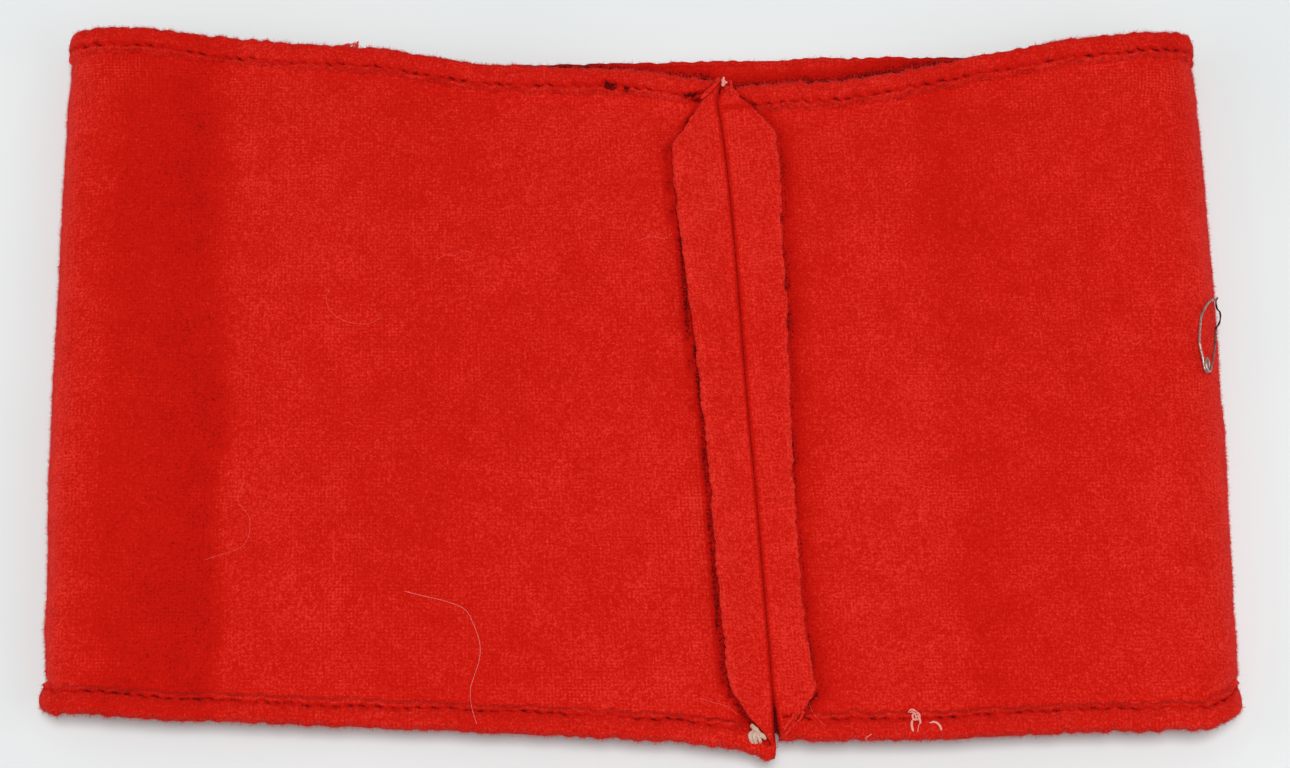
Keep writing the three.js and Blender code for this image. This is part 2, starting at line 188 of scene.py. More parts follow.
# Safety pin, on its own slope: across down the slope, y along the band, off out of the slope
WIRE = 0.38
PIN_CENTRE = (90.4, 8.05)  # x and z
PIN_TILT = np.radians(50)
PIN_STATIONS = 420
PIN_SIDES = 12
COIL_RADII = (0.68, 1.10)  # across, y
COIL_AT = (-1.8, 1.70)
COIL_TURNS = 1.5
COIL_STEP = 0.40  # rise off the slope in one turn
HEAD_ARM = np.array([
    (1.8, 13.6, 0.3), (1.5, 13.4, 0.1), (0.5, 12.9, 0.05), (-0.55, 12.0, 0.0), (-1.6, 10.85, 0.0),
    (-2.4, 9.8, 0.0), (-2.8, 8.7, 0.0), (-3.0, 7.8, 0.0), (-3.35, 6.1, 0.0), (-3.45, 4.9, 0.0),
    (-3.05, 3.6, 0.0), (-2.7, 2.8, 0.0),
])  # fmt: skip
POINT_ARM = np.array([
    (-0.8, 2.7, 0.8), (-0.5, 3.8, 0.78), (0.1, 5.2, 0.72), (0.55, 6.3, 0.65), (0.85, 7.5, 0.6),
    (1.15, 8.5, 0.55), (1.9, 9.1, 0.5), (2.55, 9.9, 0.5), (2.85, 10.9, 0.5), (2.65, 11.45, 0.55),
    (1.6, 11.85, 0.65), (1.2, 12.6, 0.75), (1.2, 13.1, 0.8), (1.7, 13.6, 0.8),
])  # fmt: skip

# Camera and light
CAMERA_DISTANCE = 0.48
CAMERA_TILT = np.radians(16)
FOCAL_LENGTH = 83.0
FRAME_WIDTH = 1290
SHIFT_PIXELS = (2, 8)
TABLE_REACH = 0.9
TABLE_HEIGHT = -5e-5


def ease(a, b, value):
    """0 below a and 1 above b, with 3t^2 - 2t^3 between them."""
    t = np.clip((value - a) / (b - a), 0.0, 1.0)
    return t * t * (3 - 2 * t)


def window(d, stretch):
    """1 within a stretch of the loop and 0 outside it, eased at its two ends."""
    begins, whole, ends, ended = stretch
    return ease(begins, whole, d) * (1 - ease(ends, ended, d))


def read_off(table, value):
    """The second column of a table at a value of its first, straight between the rows."""
    rows = table if table[0, 0] < table[-1, 0] else table[::-1]
    return np.interp(value, rows[:, 0], rows[:, 1])


def ripple(a, b, seed, wavelength, count=14):
    """Smooth unevenness: the sum of seeded cosines of a and b, each with its own direction, phase and a
    wavelength of 0.7 to 1.4 times the one given, scaled to a spread of about one."""
    rng = np.random.default_rng(seed)
    total = np.zeros(np.broadcast(a, b).shape)
    for _ in range(count):
        turn = rng.uniform(0, 2 * np.pi)
        number = 2 * np.pi / (wavelength * rng.uniform(0.7, 1.4))
        start = rng.uniform(0, 2 * np.pi)
        total = total + np.cos(number * (a * np.cos(turn) + b * np.sin(turn)) + start)
    return total * np.sqrt(2 / count)


def bump(value, centre, width):
    """A bell: exp of minus the square of the distance from centre over width."""
    return np.exp(-(((value - centre) / width) ** 2))


def quarter_round(distance, radius):
    """Share of the full height at a distance in from an edge that is rounded by a quarter circle."""
    return np.sqrt(1 - np.clip(1 - distance / radius, 0, 1) ** 2)


def unit(vectors):
    """Vectors over their own lengths."""
    return vectors / np.maximum(np.linalg.norm(vectors, axis=-1, keepdims=True), 1e-12)


# The loop closed: the length of each step, the distance along it of each row, the seam, which lies in the
# last step, and the slope at each row
CLOSED = np.vstack([LOOP, LOOP[:1]])
SPAN = np.hypot(np.diff(CLOSED[:, 0]), np.diff(CLOSED[:, 1]))
AT = np.concatenate([[0.0], np.cumsum(SPAN)])
LENGTH = AT[-1]
LAST_ROW = AT[-2]
SEAM_AT = (LENGTH + LAST_ROW) / 2
AFTER = np.diff(CLOSED, axis=0) / SPAN[:, None]
BEFORE = np.roll(AFTER, 1, axis=0)
SAME_WAY = BEFORE * AFTER > 0
SLOPE = np.where(SAME_WAY, 2 * BEFORE * AFTER / np.where(SAME_WAY, BEFORE + AFTER, 1), 0)


def loop_at(d):
    """Columns of LOOP at a distance along it: cubic Hermite between rows, each slope the harmonic mean of
    its two neighbours', or nought where they differ in sign."""
    d = np.mod(d, LENGTH)
    i = np.clip(np.searchsorted(AT, d, side="left") - 1, 0, len(LOOP) - 1)
    j = (i + 1) % len(LOOP)
    span = SPAN[i][..., None]
    t = ((d - AT[i]) / SPAN[i])[..., None]
    return (
        LOOP[i] * (1 + 2 * t) * (1 - t) ** 2
        + LOOP[j] * t * t * (3 - 2 * t)
        + SLOPE[i] * span * t * (1 - t) ** 2
        - SLOPE[j] * span * t * t * (1 - t)
    )


def outward(d):
    """Direction out of the loop in x and z: the step between two points 0.3 either side, turned a quarter."""
    step = loop_at(d + 0.3) - loop_at(d - 0.3)
    length = np.hypot(step[..., 0], step[..., 1])
    return step[..., 1] / length, -step[..., 0] / length


def upper_layer(z):
    """1 on the upper layer and 0 on the lower one, by height."""
    return ease(2.5, 7.0, z)


def drape(d, y, z):
    """Uneven lie of the upper layer: long and short ripples and two shallow hollows from edge to edge,
    none of it on the lower layer."""
    waves = 0.16 * ripple(d, y, 11, 46) + 0.07 * ripple(d, y, 12, 19) + 0.028 * ripple(d, y, 13, 7)
    hollows = -0.14 * bump(d, 86.5 - 0.02 * y, 3.4) - 0.10 * bump(d, 341.0 + 0.03 * y, 3.0)
    return upper_layer(z) * (waves + hollows)


def lean_at(d):
    """Step to the right for each step up, at a distance along the loop."""
    from_seam = np.minimum(np.abs(d), np.abs(LENGTH - d))
    return LEAN_SIDES + (LEAN_SEAM - LEAN_SIDES) * (1 - ease(0, LEAN_REACH, from_seam))


def place(d, y, out):
    """A point of the cloth: the loop's middle line at d, moved out along its outward direction, less a
    hem's draw near the edges, swollen low on each roll, and leaned sideways with y, with the sideways
    corrections of the rolled sides."""
    row = loop_at(d)
    nx, nz = outward(d)
    inside = np.minimum(y - row[..., 2], row[..., 3] - y)
    offset = out - row[..., 4] * (1 - ease(TUCK_FULL, TUCK_NONE, inside)) + drape(d, y, row[..., 1])
    offset = offset + 0.40 * bump(y, -41.0, 9.0) * bump(d, 108.0, 6.0)
    offset = offset + 0.95 * bump(y, -43.5, 7.5) * bump(d, 301.0, 7.0)
    aside = window(d, LEFT_SIDE) * read_off(LEFT_ROLL, y) + window(d, RIGHT_SIDE) * read_off(RIGHT_ROLL, y)
    x = row[..., 0] + offset * nx + lean_at(d) * y + aside
    return np.stack([x, y + 0 * offset, row[..., 1] + offset * nz], axis=-1)


def on_top(x, y):
    """Distance along the loop of a point of the upper layer: the loop's x interpolated backwards, with
    the lean found again four times."""
    x = np.asarray(x, float)
    left = np.linspace(0.0, 106.0, 600)
    right = np.linspace(LAST_ROW - 70.0, LAST_ROW, 400)
    d = np.where(x < 16.2 + LEAN_SEAM * y, 30.0, LENGTH - 30.0)
    on_left = d < LENGTH / 2
    for _ in range(4):
        straight = x - lean_at(d) * y
        from_left = np.interp(-straight, -loop_at(left)[:, 0], left)
        from_right = np.interp(-straight, -loop_at(right)[:, 0], right)
        d = np.where(on_left, from_left, from_right)
    return d


def fold_edges(d):
    """The y of the two fold edges, with their corrections, the small unevenness of a worn edge and a dip
    of the lower one beside the seam."""
    row = loop_at(d)
    low = row[..., 2] + 0.07 * ripple(d, 0, 21, 9) + 0.09 * ripple(d, 0, 22, 2.2)
    high = row[..., 3] + 0.07 * ripple(d, 0, 23, 9) + 0.09 * ripple(d, 0, 24, 2.2)
    upper = upper_layer(row[..., 1])
    x = row[..., 0]
    high = high + upper * read_off(FAR_TRIM, x)
    high = high + (1 - upper) * read_off(LOWER_TRIM, x)
    low = low + upper * read_off(NEAR_TRIM, x)
    return low - 0.3 * bump(d, 1.0, 0.9), high


def face_lumps(d, y, seed):
    """Height of the nap's soft lumps."""
    return 0.030 * ripple(d, y, seed, 3.6, 18) + 0.018 * ripple(d, y, seed + 1, 1.9, 18)


# Sign that turns the cross product of the steps along d and y on the outer face out of the cloth
NAP_TURN = -1


# Meshes


def quads_between(rings, around, wrap):
    """Faces of a grid of rings, point k of ring i joined to point k + 1 and to ring i + 1; wrap joins the
    last ring to the first."""
    i = np.arange(rings if wrap else rings - 1)[:, None]
    k = np.arange(around)[None, :]
    here = i * around
    there = ((i + 1) % rings) * around
    after = (k + 1) % around
    return np.stack([here + k, there + k, there + after, here + after], axis=-1).reshape(-1, 4)


def end_quads(start, around):
    """Faces that close the end of a flat ring, point k joined to the point across it."""
    k = np.arange(around // 2 - 1)
    return np.stack([start + k, start + k + 1, start + around - 2 - k, start + around - 1 - k], axis=-1)


def swept_ring(rings, around):
    """Faces of a flat ring swept from end to end, with both ends closed."""
    start = end_quads(0, around)[:, ::-1]
    end = end_quads((rings - 1) * around, around)
    return np.concatenate([quads_between(rings, around, False), start, end])


def volume(points, faces):
    """Signed volume: the sum over triangles of p0 . (p1 x p2) / 6."""
    total = 0.0
    for a, b, c in ([(0, 1, 2), (0, 2, 3)] if faces.shape[1] == 4 else [(0, 1, 2)]):
        p, q, r = points[faces[:, a]], points[faces[:, b]], points[faces[:, c]]
        total += np.einsum("ij,ij->", p, np.cross(q, r)) / 6
    return total


def outward_faces(points, faces):
    """The faces, all turned round if they enclose a negative volume."""
    return faces if volume(points, faces) > 0 else faces[:, ::-1]


def make_piece(name, points, faces, material, cloth=None, marks=None, slot="wool"):
    """A mesh in metres from points in millimetres and index rows, smooth and kept above the floor, with
    its cloth coordinates as a UV map in millimetres and its marks as named float attributes."""
    mesh = bpy.data.meshes.new(name)
    points = np.column_stack([points[:, :2], np.maximum(points[:, 2], FLOOR_CLEAR)])
    mesh.from_pydata((points * MM).tolist(), [], faces.tolist())
    mesh.polygons.foreach_set("use_smooth", np.ones(len(mesh.polygons), bool))
    if cloth is not None:
        corner = np.empty(len(mesh.loops), np.int32)
        mesh.loops.foreach_get("vertex_index", corner)
        layer = mesh.uv_layers.new(name="cloth")
        layer.data.foreach_set("uv", cloth[corner].astype(np.float32).ravel())
    for mark, values in (marks or {}).items():
        attribute = mesh.attributes.new(mark, "FLOAT", "POINT")
        attribute.data.foreach_set("value", np.asarray(values, np.float32).ravel())
    mesh.materials.append(material)
    mesh.update()
    piece = bpy.data.objects.new(name, mesh)
    bpy.context.scene.collection.objects.link(piece)
    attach(piece, "root")
    return piece


def stations(pitch_at, start, end):
    """Distances from start to end whose spacing follows pitch_at: the running sum of 1 / pitch cut into
    equal parts."""
    fine = np.linspace(start, end, 8000)
    count = np.concatenate([[0.0], np.cumsum(np.diff(fine) / pitch_at((fine[1:] + fine[:-1]) / 2))])
    return np.interp(np.linspace(0, count[-1], int(np.ceil(count[-1])) + 1), count, fine)


def near_roll(d):
    """1 round the two rolled sides and 0 on flat cloth."""
    return np.maximum(window(d, LEFT_TURN), window(d, RIGHT_TURN))


def tubes(paths, radii, sides=6):
    """Round tubes with pointed ends along many paths at once: rings of radius r round each point, square
    to the step from the point before to the point after it. paths is (tubes, points, 3), radii (tubes,
    points)."""
    count, length, _ = paths.shape
    along = unit(np.gradient(paths, axis=1))
    helper = np.where(np.abs(along[..., 2:3]) > 0.9, [[[1.0, 0, 0]]], [[[0, 0, 1.0]]])
    across = unit(np.cross(along, helper))
    over = np.cross(along, across)
    angle = 2 * np.pi * np.arange(sides) / sides
    turn = np.stack([np.cos(angle), np.sin(angle)])[:, None, None, :, None]
    ring = across[:, :, None] * turn[0] + over[:, :, None] * turn[1]
    points = (paths[:, :, None] + radii[:, :, None, None] * ring).reshape(count, length * sides, 3)
    first_tip = paths[:, 0] - along[:, 0] * radii[:, :1]
    last_tip = paths[:, -1] + along[:, -1] * radii[:, -1:]
    points = np.concatenate([points, np.stack([first_tip, last_tip], axis=1)], axis=1)
    wall = quads_between(length, sides, False)
    k = np.arange(sides)
    after = (k + 1) % sides
    tip = length * sides + 0 * k
    ring_start = (length - 1) * sides
    first = np.stack([tip, k, after], axis=-1)
    last = np.stack([tip + 1, ring_start + after, ring_start + k], axis=-1)
    triangles = np.concatenate([wall[:, [0, 1, 2]], wall[:, [0, 2, 3]], first, last])
    if volume(points[0], triangles) < 0:
        triangles = triangles[:, ::-1]
    shift = np.arange(count)[:, None, None] * points.shape[1]
    return points.reshape(-1, 3), (triangles[None] + shift).reshape(-1, 3)


def thread(path, radius, sides):
    """One tube along a path, its radius one number or one for each point."""
    return tubes(path[None], np.broadcast_to(radius, len(path))[None], sides)


def smooth_path(rows, count):
    """Centripetal Catmull-Rom curve through the rows, at count points evenly spaced along it."""
    rows = np.asarray(rows, float)
    points = np.vstack([2 * rows[0] - rows[1], rows, 2 * rows[-1] - rows[-2]])
    knots = np.concatenate([[0.0], np.cumsum(np.sqrt(np.linalg.norm(np.diff(points, axis=0), axis=1)))])
    t = np.linspace(knots[1], knots[-2], 60 * len(rows))
    i = np.clip(np.searchsorted(knots, t) - 1, 1, len(rows) - 1)
    p = [points[i + n] for n in (-1, 0, 1, 2)]
    k = [knots[i + n][:, None] for n in (-1, 0, 1, 2)]
    t = t[:, None]

    def mixed(first, second, low, high):
        return first * (high - t) / (high - low) + second * (t - low) / (high - low)

    a = [mixed(p[n], p[n + 1], k[n], k[n + 1]) for n in range(3)]
    b = [mixed(a[n], a[n + 1], k[n], k[n + 2]) for n in range(2)]
    curve = mixed(b[0], b[1], k[1], k[2])
    length = np.concatenate([[0.0], np.cumsum(np.linalg.norm(np.diff(curve, axis=0), axis=1))])
    even = np.linspace(0, length[-1], count)
    return np.stack([np.interp(even, length, curve[:, n]) for n in range(3)], axis=-1)


# Materials


def add_node(tree, kind, feeds=None, **settings):
    """A node with its settings, and its inputs fed by sockets or given plain values."""
    node = tree.nodes.new(kind)
    for key, value in settings.items():
        setattr(node, key, value)
    for slot, value in (feeds or {}).items():
        if isinstance(value, bpy.types.NodeSocket):
            tree.links.new(value, node.inputs[slot])
        else:
            node.inputs[slot].default_value = value
    return node


def calc(tree, operation, *values):
    """Output of a Math node."""
    return add_node(tree, "ShaderNodeMath", dict(enumerate(values)), operation=operation).outputs[0]


def blend_range(tree, value, low, high, to_low=0.0, to_high=1.0):
    """Value mapped smoothly from one range to another."""
    feeds = {0: value, 1: low, 2: high, 3: to_low, 4: to_high}
    return add_node(tree, "ShaderNodeMapRange", feeds, interpolation_type="SMOOTHSTEP").outputs[0]


def noise(tree, where, scale, detail=2.0, roughness=0.5, distortion=0.0):
    """Noise around one half, scale in waves to the metre."""
    feeds = {
        "Vector": where,
        "Scale": scale,
        "Detail": detail,
        "Roughness": roughness,
        "Distortion": distortion,
    }
    return add_node(tree, "ShaderNodeTexNoise", feeds).outputs[0]


def ramp(tree, value, stops):
    """Colour ramp through the stops."""
    node = add_node(tree, "ShaderNodeValToRGB", {0: value})
    elements = node.color_ramp.elements
    while len(elements) < len(stops):
        elements.new(0.5)
    for element, (position, colour) in zip(elements, stops):
        element.position = position
        element.color = (*colour, 1.0)
    return node.outputs[0]


def new_material(name, **finish):
    """A material with a Principled surface; finish sets the surface's own sockets."""
    material = bpy.data.materials.new(name)
    material.use_nodes = True
    tree = material.node_tree
    surface = tree.nodes["Principled BSDF"]
    for slot, value in finish.items():
        surface.inputs[slot.replace("_", " ")].default_value = value
    return material, tree, surface


def object_place(tree):
    """A point's own coordinates in metres."""
    return add_node(tree, "ShaderNodeTexCoord").outputs["Object"]


def read_mark(tree, name):
    """A mark that make_piece wrote."""
    return add_node(tree, "ShaderNodeAttribute", attribute_name=name).outputs["Fac"]


def raise_surface(tree, surface, height, strength, distance):
    """Relief from a height."""
    feeds = {"Strength": strength, "Distance": distance, "Height": height}
    tree.links.new(add_node(tree, "ShaderNodeBump", feeds).outputs[0], surface.inputs["Normal"])


def mix_colours(tree, share, first, second):
    """The first colour where share is 0 and the second where it is 1."""
    return add_node(tree, "ShaderNodeMix", {0: share, 6: first, 7: second}, data_type="RGBA").outputs[2]


def hair_streaks(tree, where, turn, scale):
    """Thin short strokes along one direction: the crest of a noise drawn out across that direction."""
    drawn_out = {0: where, 2: (0.3, 0.2, turn), 3: (1.0, 0.16, 1.0)}
    turned = add_node(tree, "ShaderNodeMapping", drawn_out).outputs[0]
    crest = calc(tree, "ABSOLUTE", calc(tree, "SUBTRACT", noise(tree, turned, scale, 2.0, 0.5, 0.3), 0.5))
    return blend_range(tree, crest, 0.0, 0.035, 1.0, 0.0)


def milled_wool(name, deep, dark, middle, light):
    """Milled wool: a felted nap of fine hairs over a plain weave, whose grid is the sum of two sines.
    Shade runs through a ramp of four reds; the nap and the weave also raise the surface."""
    material, tree, surface = new_material(
        name,
        Roughness=0.9,
        Sheen_Weight=0.06,
        Sheen_Roughness=0.5,
        Sheen_Tint=(1.0, 0.12, 0.10, 1.0),
    )
    surface.inputs["Specular IOR Level"].default_value = 0.08
    where = object_place(tree)
    cloth = add_node(tree, "ShaderNodeUVMap", uv_map="cloth").outputs[0]
    painted_shading = read_mark(tree, "painted_shading")
    rubbed = read_mark(tree, "rubbed")
    painted_shade = read_mark(tree, "painted_shade")
    hairs = noise(tree, where, 3900.0, 3.0, 0.62)
    clumps = noise(tree, where, 1900.0, 2.0, 0.55)
    clouds = noise(tree, where, 190.0, 2.0, 0.55)
    drift = noise(tree, where, 32.0, 1.0)
    streaks = calc(
        tree, "MAXIMUM", hair_streaks(tree, where, 0.7, 1500.0), hair_streaks(tree, where, -0.55, 1350.0)
    )
    across, along, _ = add_node(tree, "ShaderNodeSeparateXYZ", {0: cloth}).outputs
    jitter = calc(tree, "MULTIPLY", calc(tree, "SUBTRACT", clumps, 0.5), 4.0)
    weft, warp = (
        calc(tree, "SINE", calc(tree, "MULTIPLY_ADD", position, 2 * np.pi / pitch, jitter))
        for position, pitch in ((across, WEFT_PITCH), (along, WARP_PITCH))
    )
    weave = calc(tree, "MULTIPLY", calc(tree, "ADD", weft, warp), 0.6)
    bare = blend_range(tree, noise(tree, where, 95.0, 2.0), 0.42, 0.66, 0.45, 0.90)
    shown_weave = calc(tree, "MULTIPLY", weave, calc(tree, "MAXIMUM", bare, rubbed))

    shade = 0.5
    for part, share in (
        (calc(tree, "SUBTRACT", hairs, 0.5), 0.92),
        (calc(tree, "SUBTRACT", clumps, 0.5), 0.52),
        (calc(tree, "MULTIPLY", calc(tree, "MAXIMUM", weave, 0.0), rubbed), 0.16),
        (calc(tree, "SUBTRACT", clouds, 0.5), 0.20),
        (calc(tree, "SUBTRACT", drift, 0.5), 0.11),
        (shown_weave, 0.058),
        (streaks, 0.05),
        (rubbed, 0.05),
        # painted_shade darkens the colour as painted shade under lifted edges, in creases, gaps, holes and
        # the loop's cavity; painted_shading darkens it as painted shade and lightens it as painted highlight
        (painted_shading, -0.16),
        (painted_shade, -0.80),
    ):
        shade = calc(tree, "MULTIPLY_ADD", part, share, shade)
    colour = ramp(tree, shade, [(0.0, deep), (0.2, dark), (0.5, middle), (0.8, light)])
    tree.links.new(colour, surface.inputs["Base Color"])
    height = calc(tree, "MULTIPLY_ADD", shown_weave, 0.13, calc(tree, "MULTIPLY_ADD", clumps, 0.25, hairs))
    height = calc(tree, "MULTIPLY_ADD", streaks, 0.10, height)
    raise_surface(tree, surface, height, 0.55, 0.00022)
    return material


def spun_thread(name, dark, light, roughness=0.8):
    """Twisted thread: fine noise between two shades, with the same noise as its relief."""
    material, tree, surface = new_material(name, Roughness=roughness)
    surface.inputs["Specular IOR Level"].default_value = 0.1
    where = object_place(tree)
    twist = noise(tree, where, 5200.0, 2.0, 0.6, 1.0)
    tree.links.new(ramp(tree, twist, [(0.3, dark), (0.7, light)]), surface.inputs["Base Color"])
    raise_surface(tree, surface, twist, 0.5, 0.00012)
    return material


def old_wire(name):
    """Tarnished steel wire: grey metal, tinted pink as painted reflection of the red cloth, that turns brown
    where rust is and near black where it is bent.
    """
    material, tree, surface = new_material(name, Metallic=0.75, Roughness=0.42)
    where = object_place(tree)
    rust = read_mark(tree, "rust")
    black = read_mark(tree, "black")
    spots = noise(tree, where, 2600.0, 3.0, 0.6)
    greys_with_painted_reflection = [(0.3, (0.22, 0.14, 0.12)), (0.52, (0.50, 0.36, 0.33)), (0.72, (0.86, 0.66, 0.60))]
    bare = ramp(tree, spots, greys_with_painted_reflection)
    brown = ramp(tree, spots, [(0.3, (0.12, 0.05, 0.035)), (0.7, (0.40, 0.20, 0.15))])
    rusty = calc(tree, "MULTIPLY_ADD", calc(tree, "SUBTRACT", spots, 0.5), 1.2, rust)
    metal = mix_colours(tree, blend_range(tree, rusty, 0.2, 0.8), bare, brown)
    metal = mix_colours(tree, black, metal, (0.012, 0.011, 0.012, 1.0))
    tree.links.new(metal, surface.inputs["Base Color"])
    raise_surface(tree, surface, spots, 0.5, 0.00006)
    return material


RED_WOOL = milled_wool(
    "red_wool", (0.10, 0.0015, 0.001), (0.465, 0.0033, 0.0010), (0.60, 0.0074, 0.0021), (0.84, 0.041, 0.027)
)
RED_HAIR = spun_thread("red_wool_hair", (0.63, 0.011, 0.006), (0.83, 0.040, 0.028), 0.85)
# Lighter, pinker copies of the red hair for the rolls and the hem folds: painted sheen where the nap catches
# light against the floor
ROLL_HAIR_PAINTED_SHEEN = spun_thread("roll_wool_hair_painted_sheen", (0.86, 0.030, 0.024), (0.99, 0.095, 0.078), 0.85)
FOLD_HAIR_PAINTED_SHEEN = spun_thread("hem_fold_hair_painted_sheen", (0.72, 0.035, 0.028), (0.88, 0.12, 0.10), 0.85)
PINK_HAIR = spun_thread("worn_wool_hair", (0.88, 0.12, 0.10), (0.97, 0.27, 0.24), 0.85)
RED_THREAD = spun_thread("red_sewing_thread", (0.34, 0.004, 0.003), (0.55, 0.012, 0.008))
PALE_THREAD = spun_thread("undyed_thread", (0.74, 0.22, 0.17), (0.96, 0.48, 0.40))
RAW_THREAD = spun_thread("raw_thread_tuft", (0.46, 0.27, 0.20), (0.82, 0.60, 0.48))
PALE_LINT = spun_thread("pale_lint", (0.80, 0.30, 0.27), (0.88, 0.46, 0.42))
PIN_WIRE = old_wire("tarnished_wire")


def painted_shading_mark(d, y):
    """Painted shade and painted highlight: a darker band beside the left roll, darkest at its inner side,
    which is clear below and soft above, and faint darker ones on each half. The two rolls are lighter as
    painted sheen."""
    wander = 0.9 * ripple(y, 0, 31, 34) + 0.02 * y
    soft = 1.9 + 2.8 * ease(-8, 24, y)
    left = ease(82.8 - soft + wander, 82.8 + soft + wander, d) * (1 - ease(98, 106, d))
    left = left * (0.82 + 0.46 * (1 - ease(84, 99, d)))
    # painted sheen: the two rolls lighter
    pale = 1.45 * (bump(d, 110.5, 3.2) + bump(d, 300.5, 3.8))
    right = 0.35 * bump(d, 343.0 + 0.03 * y, 5.0) + 0.18 * bump(d, 330.0, 12.0)
    middle = 0.22 * bump(d, 50.0, 12.0)
    return left + right + middle - pale


# Places where the nap is worn off the weave: x, y, reach sideways, reach up and down
RUBBED_SPOTS = (
    (-33.4, 25.4, 2.6, 3.6), (-47.0, -36.2, 1.8, 4.5), (-9.7, -50.3, 5.0, 1.8), (-83.5, -46.7, 2.6, 1.8),
    (-84.0, 52.0, 6.0, 2.0), (84.0, 50.0, 5.0, 3.0), (8.9, -20.2, 3.0, 2.0),
)  # fmt: skip


def cavity_shade_mark(d, y):
    """Painted shade on the lower layer's inner side: full under the upper layer's top edge, fading over 5 mm
    beyond it."""
    row = loop_at(d)
    x = row[..., 0] + LEAN_SIDES * y
    front_edge = loop_at(on_top(x, FRONT_ROW))[..., 3]
    return 0.85 * (1 - ease(2.5, 5.0, row[..., 1])) * (1 - ease(0.5, 6.2, y - front_edge))


def rubbed_mark(d, y):
    """How bare the weave is: a ragged patch round each spot of the list."""
    total = np.zeros(np.broadcast(d, y).shape)
    ragged = 1 + 0.35 * ripple(d, y, 41, 2.8)
    for x, spot_y, wide, tall in RUBBED_SPOTS:
        spot_d = on_top(x, spot_y)
        far = ((d - spot_d) / wide) ** 2 + ((y - spot_y) / tall) ** 2
        total = np.maximum(total, np.exp(-far * ragged**2))
    return 0.9 * total


def strip_table(side):
    """The table of the left (+1) or right (-1) allowance."""
    return LEFT_STRIP if side > 0 else RIGHT_STRIP


def seam_line(y):
    """Sideways wander of the seam at y."""
    return read_off(SEAM_WANDER, y)


def strip_width(y, side):
    """Distance of a seam allowance's cut edge from the seam: its table, with the bites of the shears and
    an uneven wander where it is more than a few millimetres wide."""
    width = read_off(strip_table(side), y)
    saw = np.abs(np.mod(y / 1.55 + 0.12 * ripple(y, 0, 91 + side, 9), 1.0) - 0.5) * 2
    ragged = 0.13 * (saw - 0.5) + 0.09 * ripple(y, 0, 93 + side, 4.2) + 0.04 * ripple(y, 0, 95 + side, 1.1)
    return width + ease(0.9, 3.0, width) * (ragged + (0.13 if side > 0 else 0.12))


def shade_beside_strips(d, y):
    """Painted shade on the nap beside the two allowances, where it lies under their lifted edges: strong and
    narrow on the left, weaker and wider on the right, and deep in the notch at the foot, in the open end
    of the seam and in the hollow at its top."""
    from_seam = np.mod(d - SEAM_AT + LENGTH / 2, LENGTH) - LENGTH / 2 + seam_line(y)
    left = from_seam - strip_width(y, 1)
    right = -from_seam - strip_width(y, -1)
    inside = ease(-57.5, -53.0, y) * (1 - ease(44.0, 48.0, y))
    dark = 0.62 * ease(-0.5, 0.0, left) * (1 - ease(0.5, 1.35, left))
    dark = inside * (dark + 0.60 * ease(-0.5, 0.0, right) * np.exp(-np.clip(right, 0, None) / 1.3))
    foot = 0.62 * bump(y, -54.9, 2.4) * ease(-0.5, 0.0, left) * np.exp(-np.clip(left, 0, None) / 0.9)
    gap = 0.85 * bump(from_seam, 0.0, 0.8) * (1 - ease(-53.5, -50.0, y))
    hollow = 0.75 * bump(from_seam, 3.3, 1.1) * bump(y, 47.3, 0.6)
    return np.maximum(np.maximum(dark, foot), np.maximum(gap, hollow))


# Band


def sunk(d, y):
    """How far the band's own layer drops under the allowances' lower end."""
    return 1.1 * bump(d, 3.4, 2.2) * bump(y, -55.6, 1.7)


def band_face(d, y, side, thinner=0.0, lumpy=1.0):
    """A point of the band's outer (+1) or inner (-1) face."""
    lumps = lumpy * face_lumps(d, y, 51 if side > 0 else 55)
    return place(d, y, side * (PLY / 2 - thinner) + lumps - sunk(d, y))


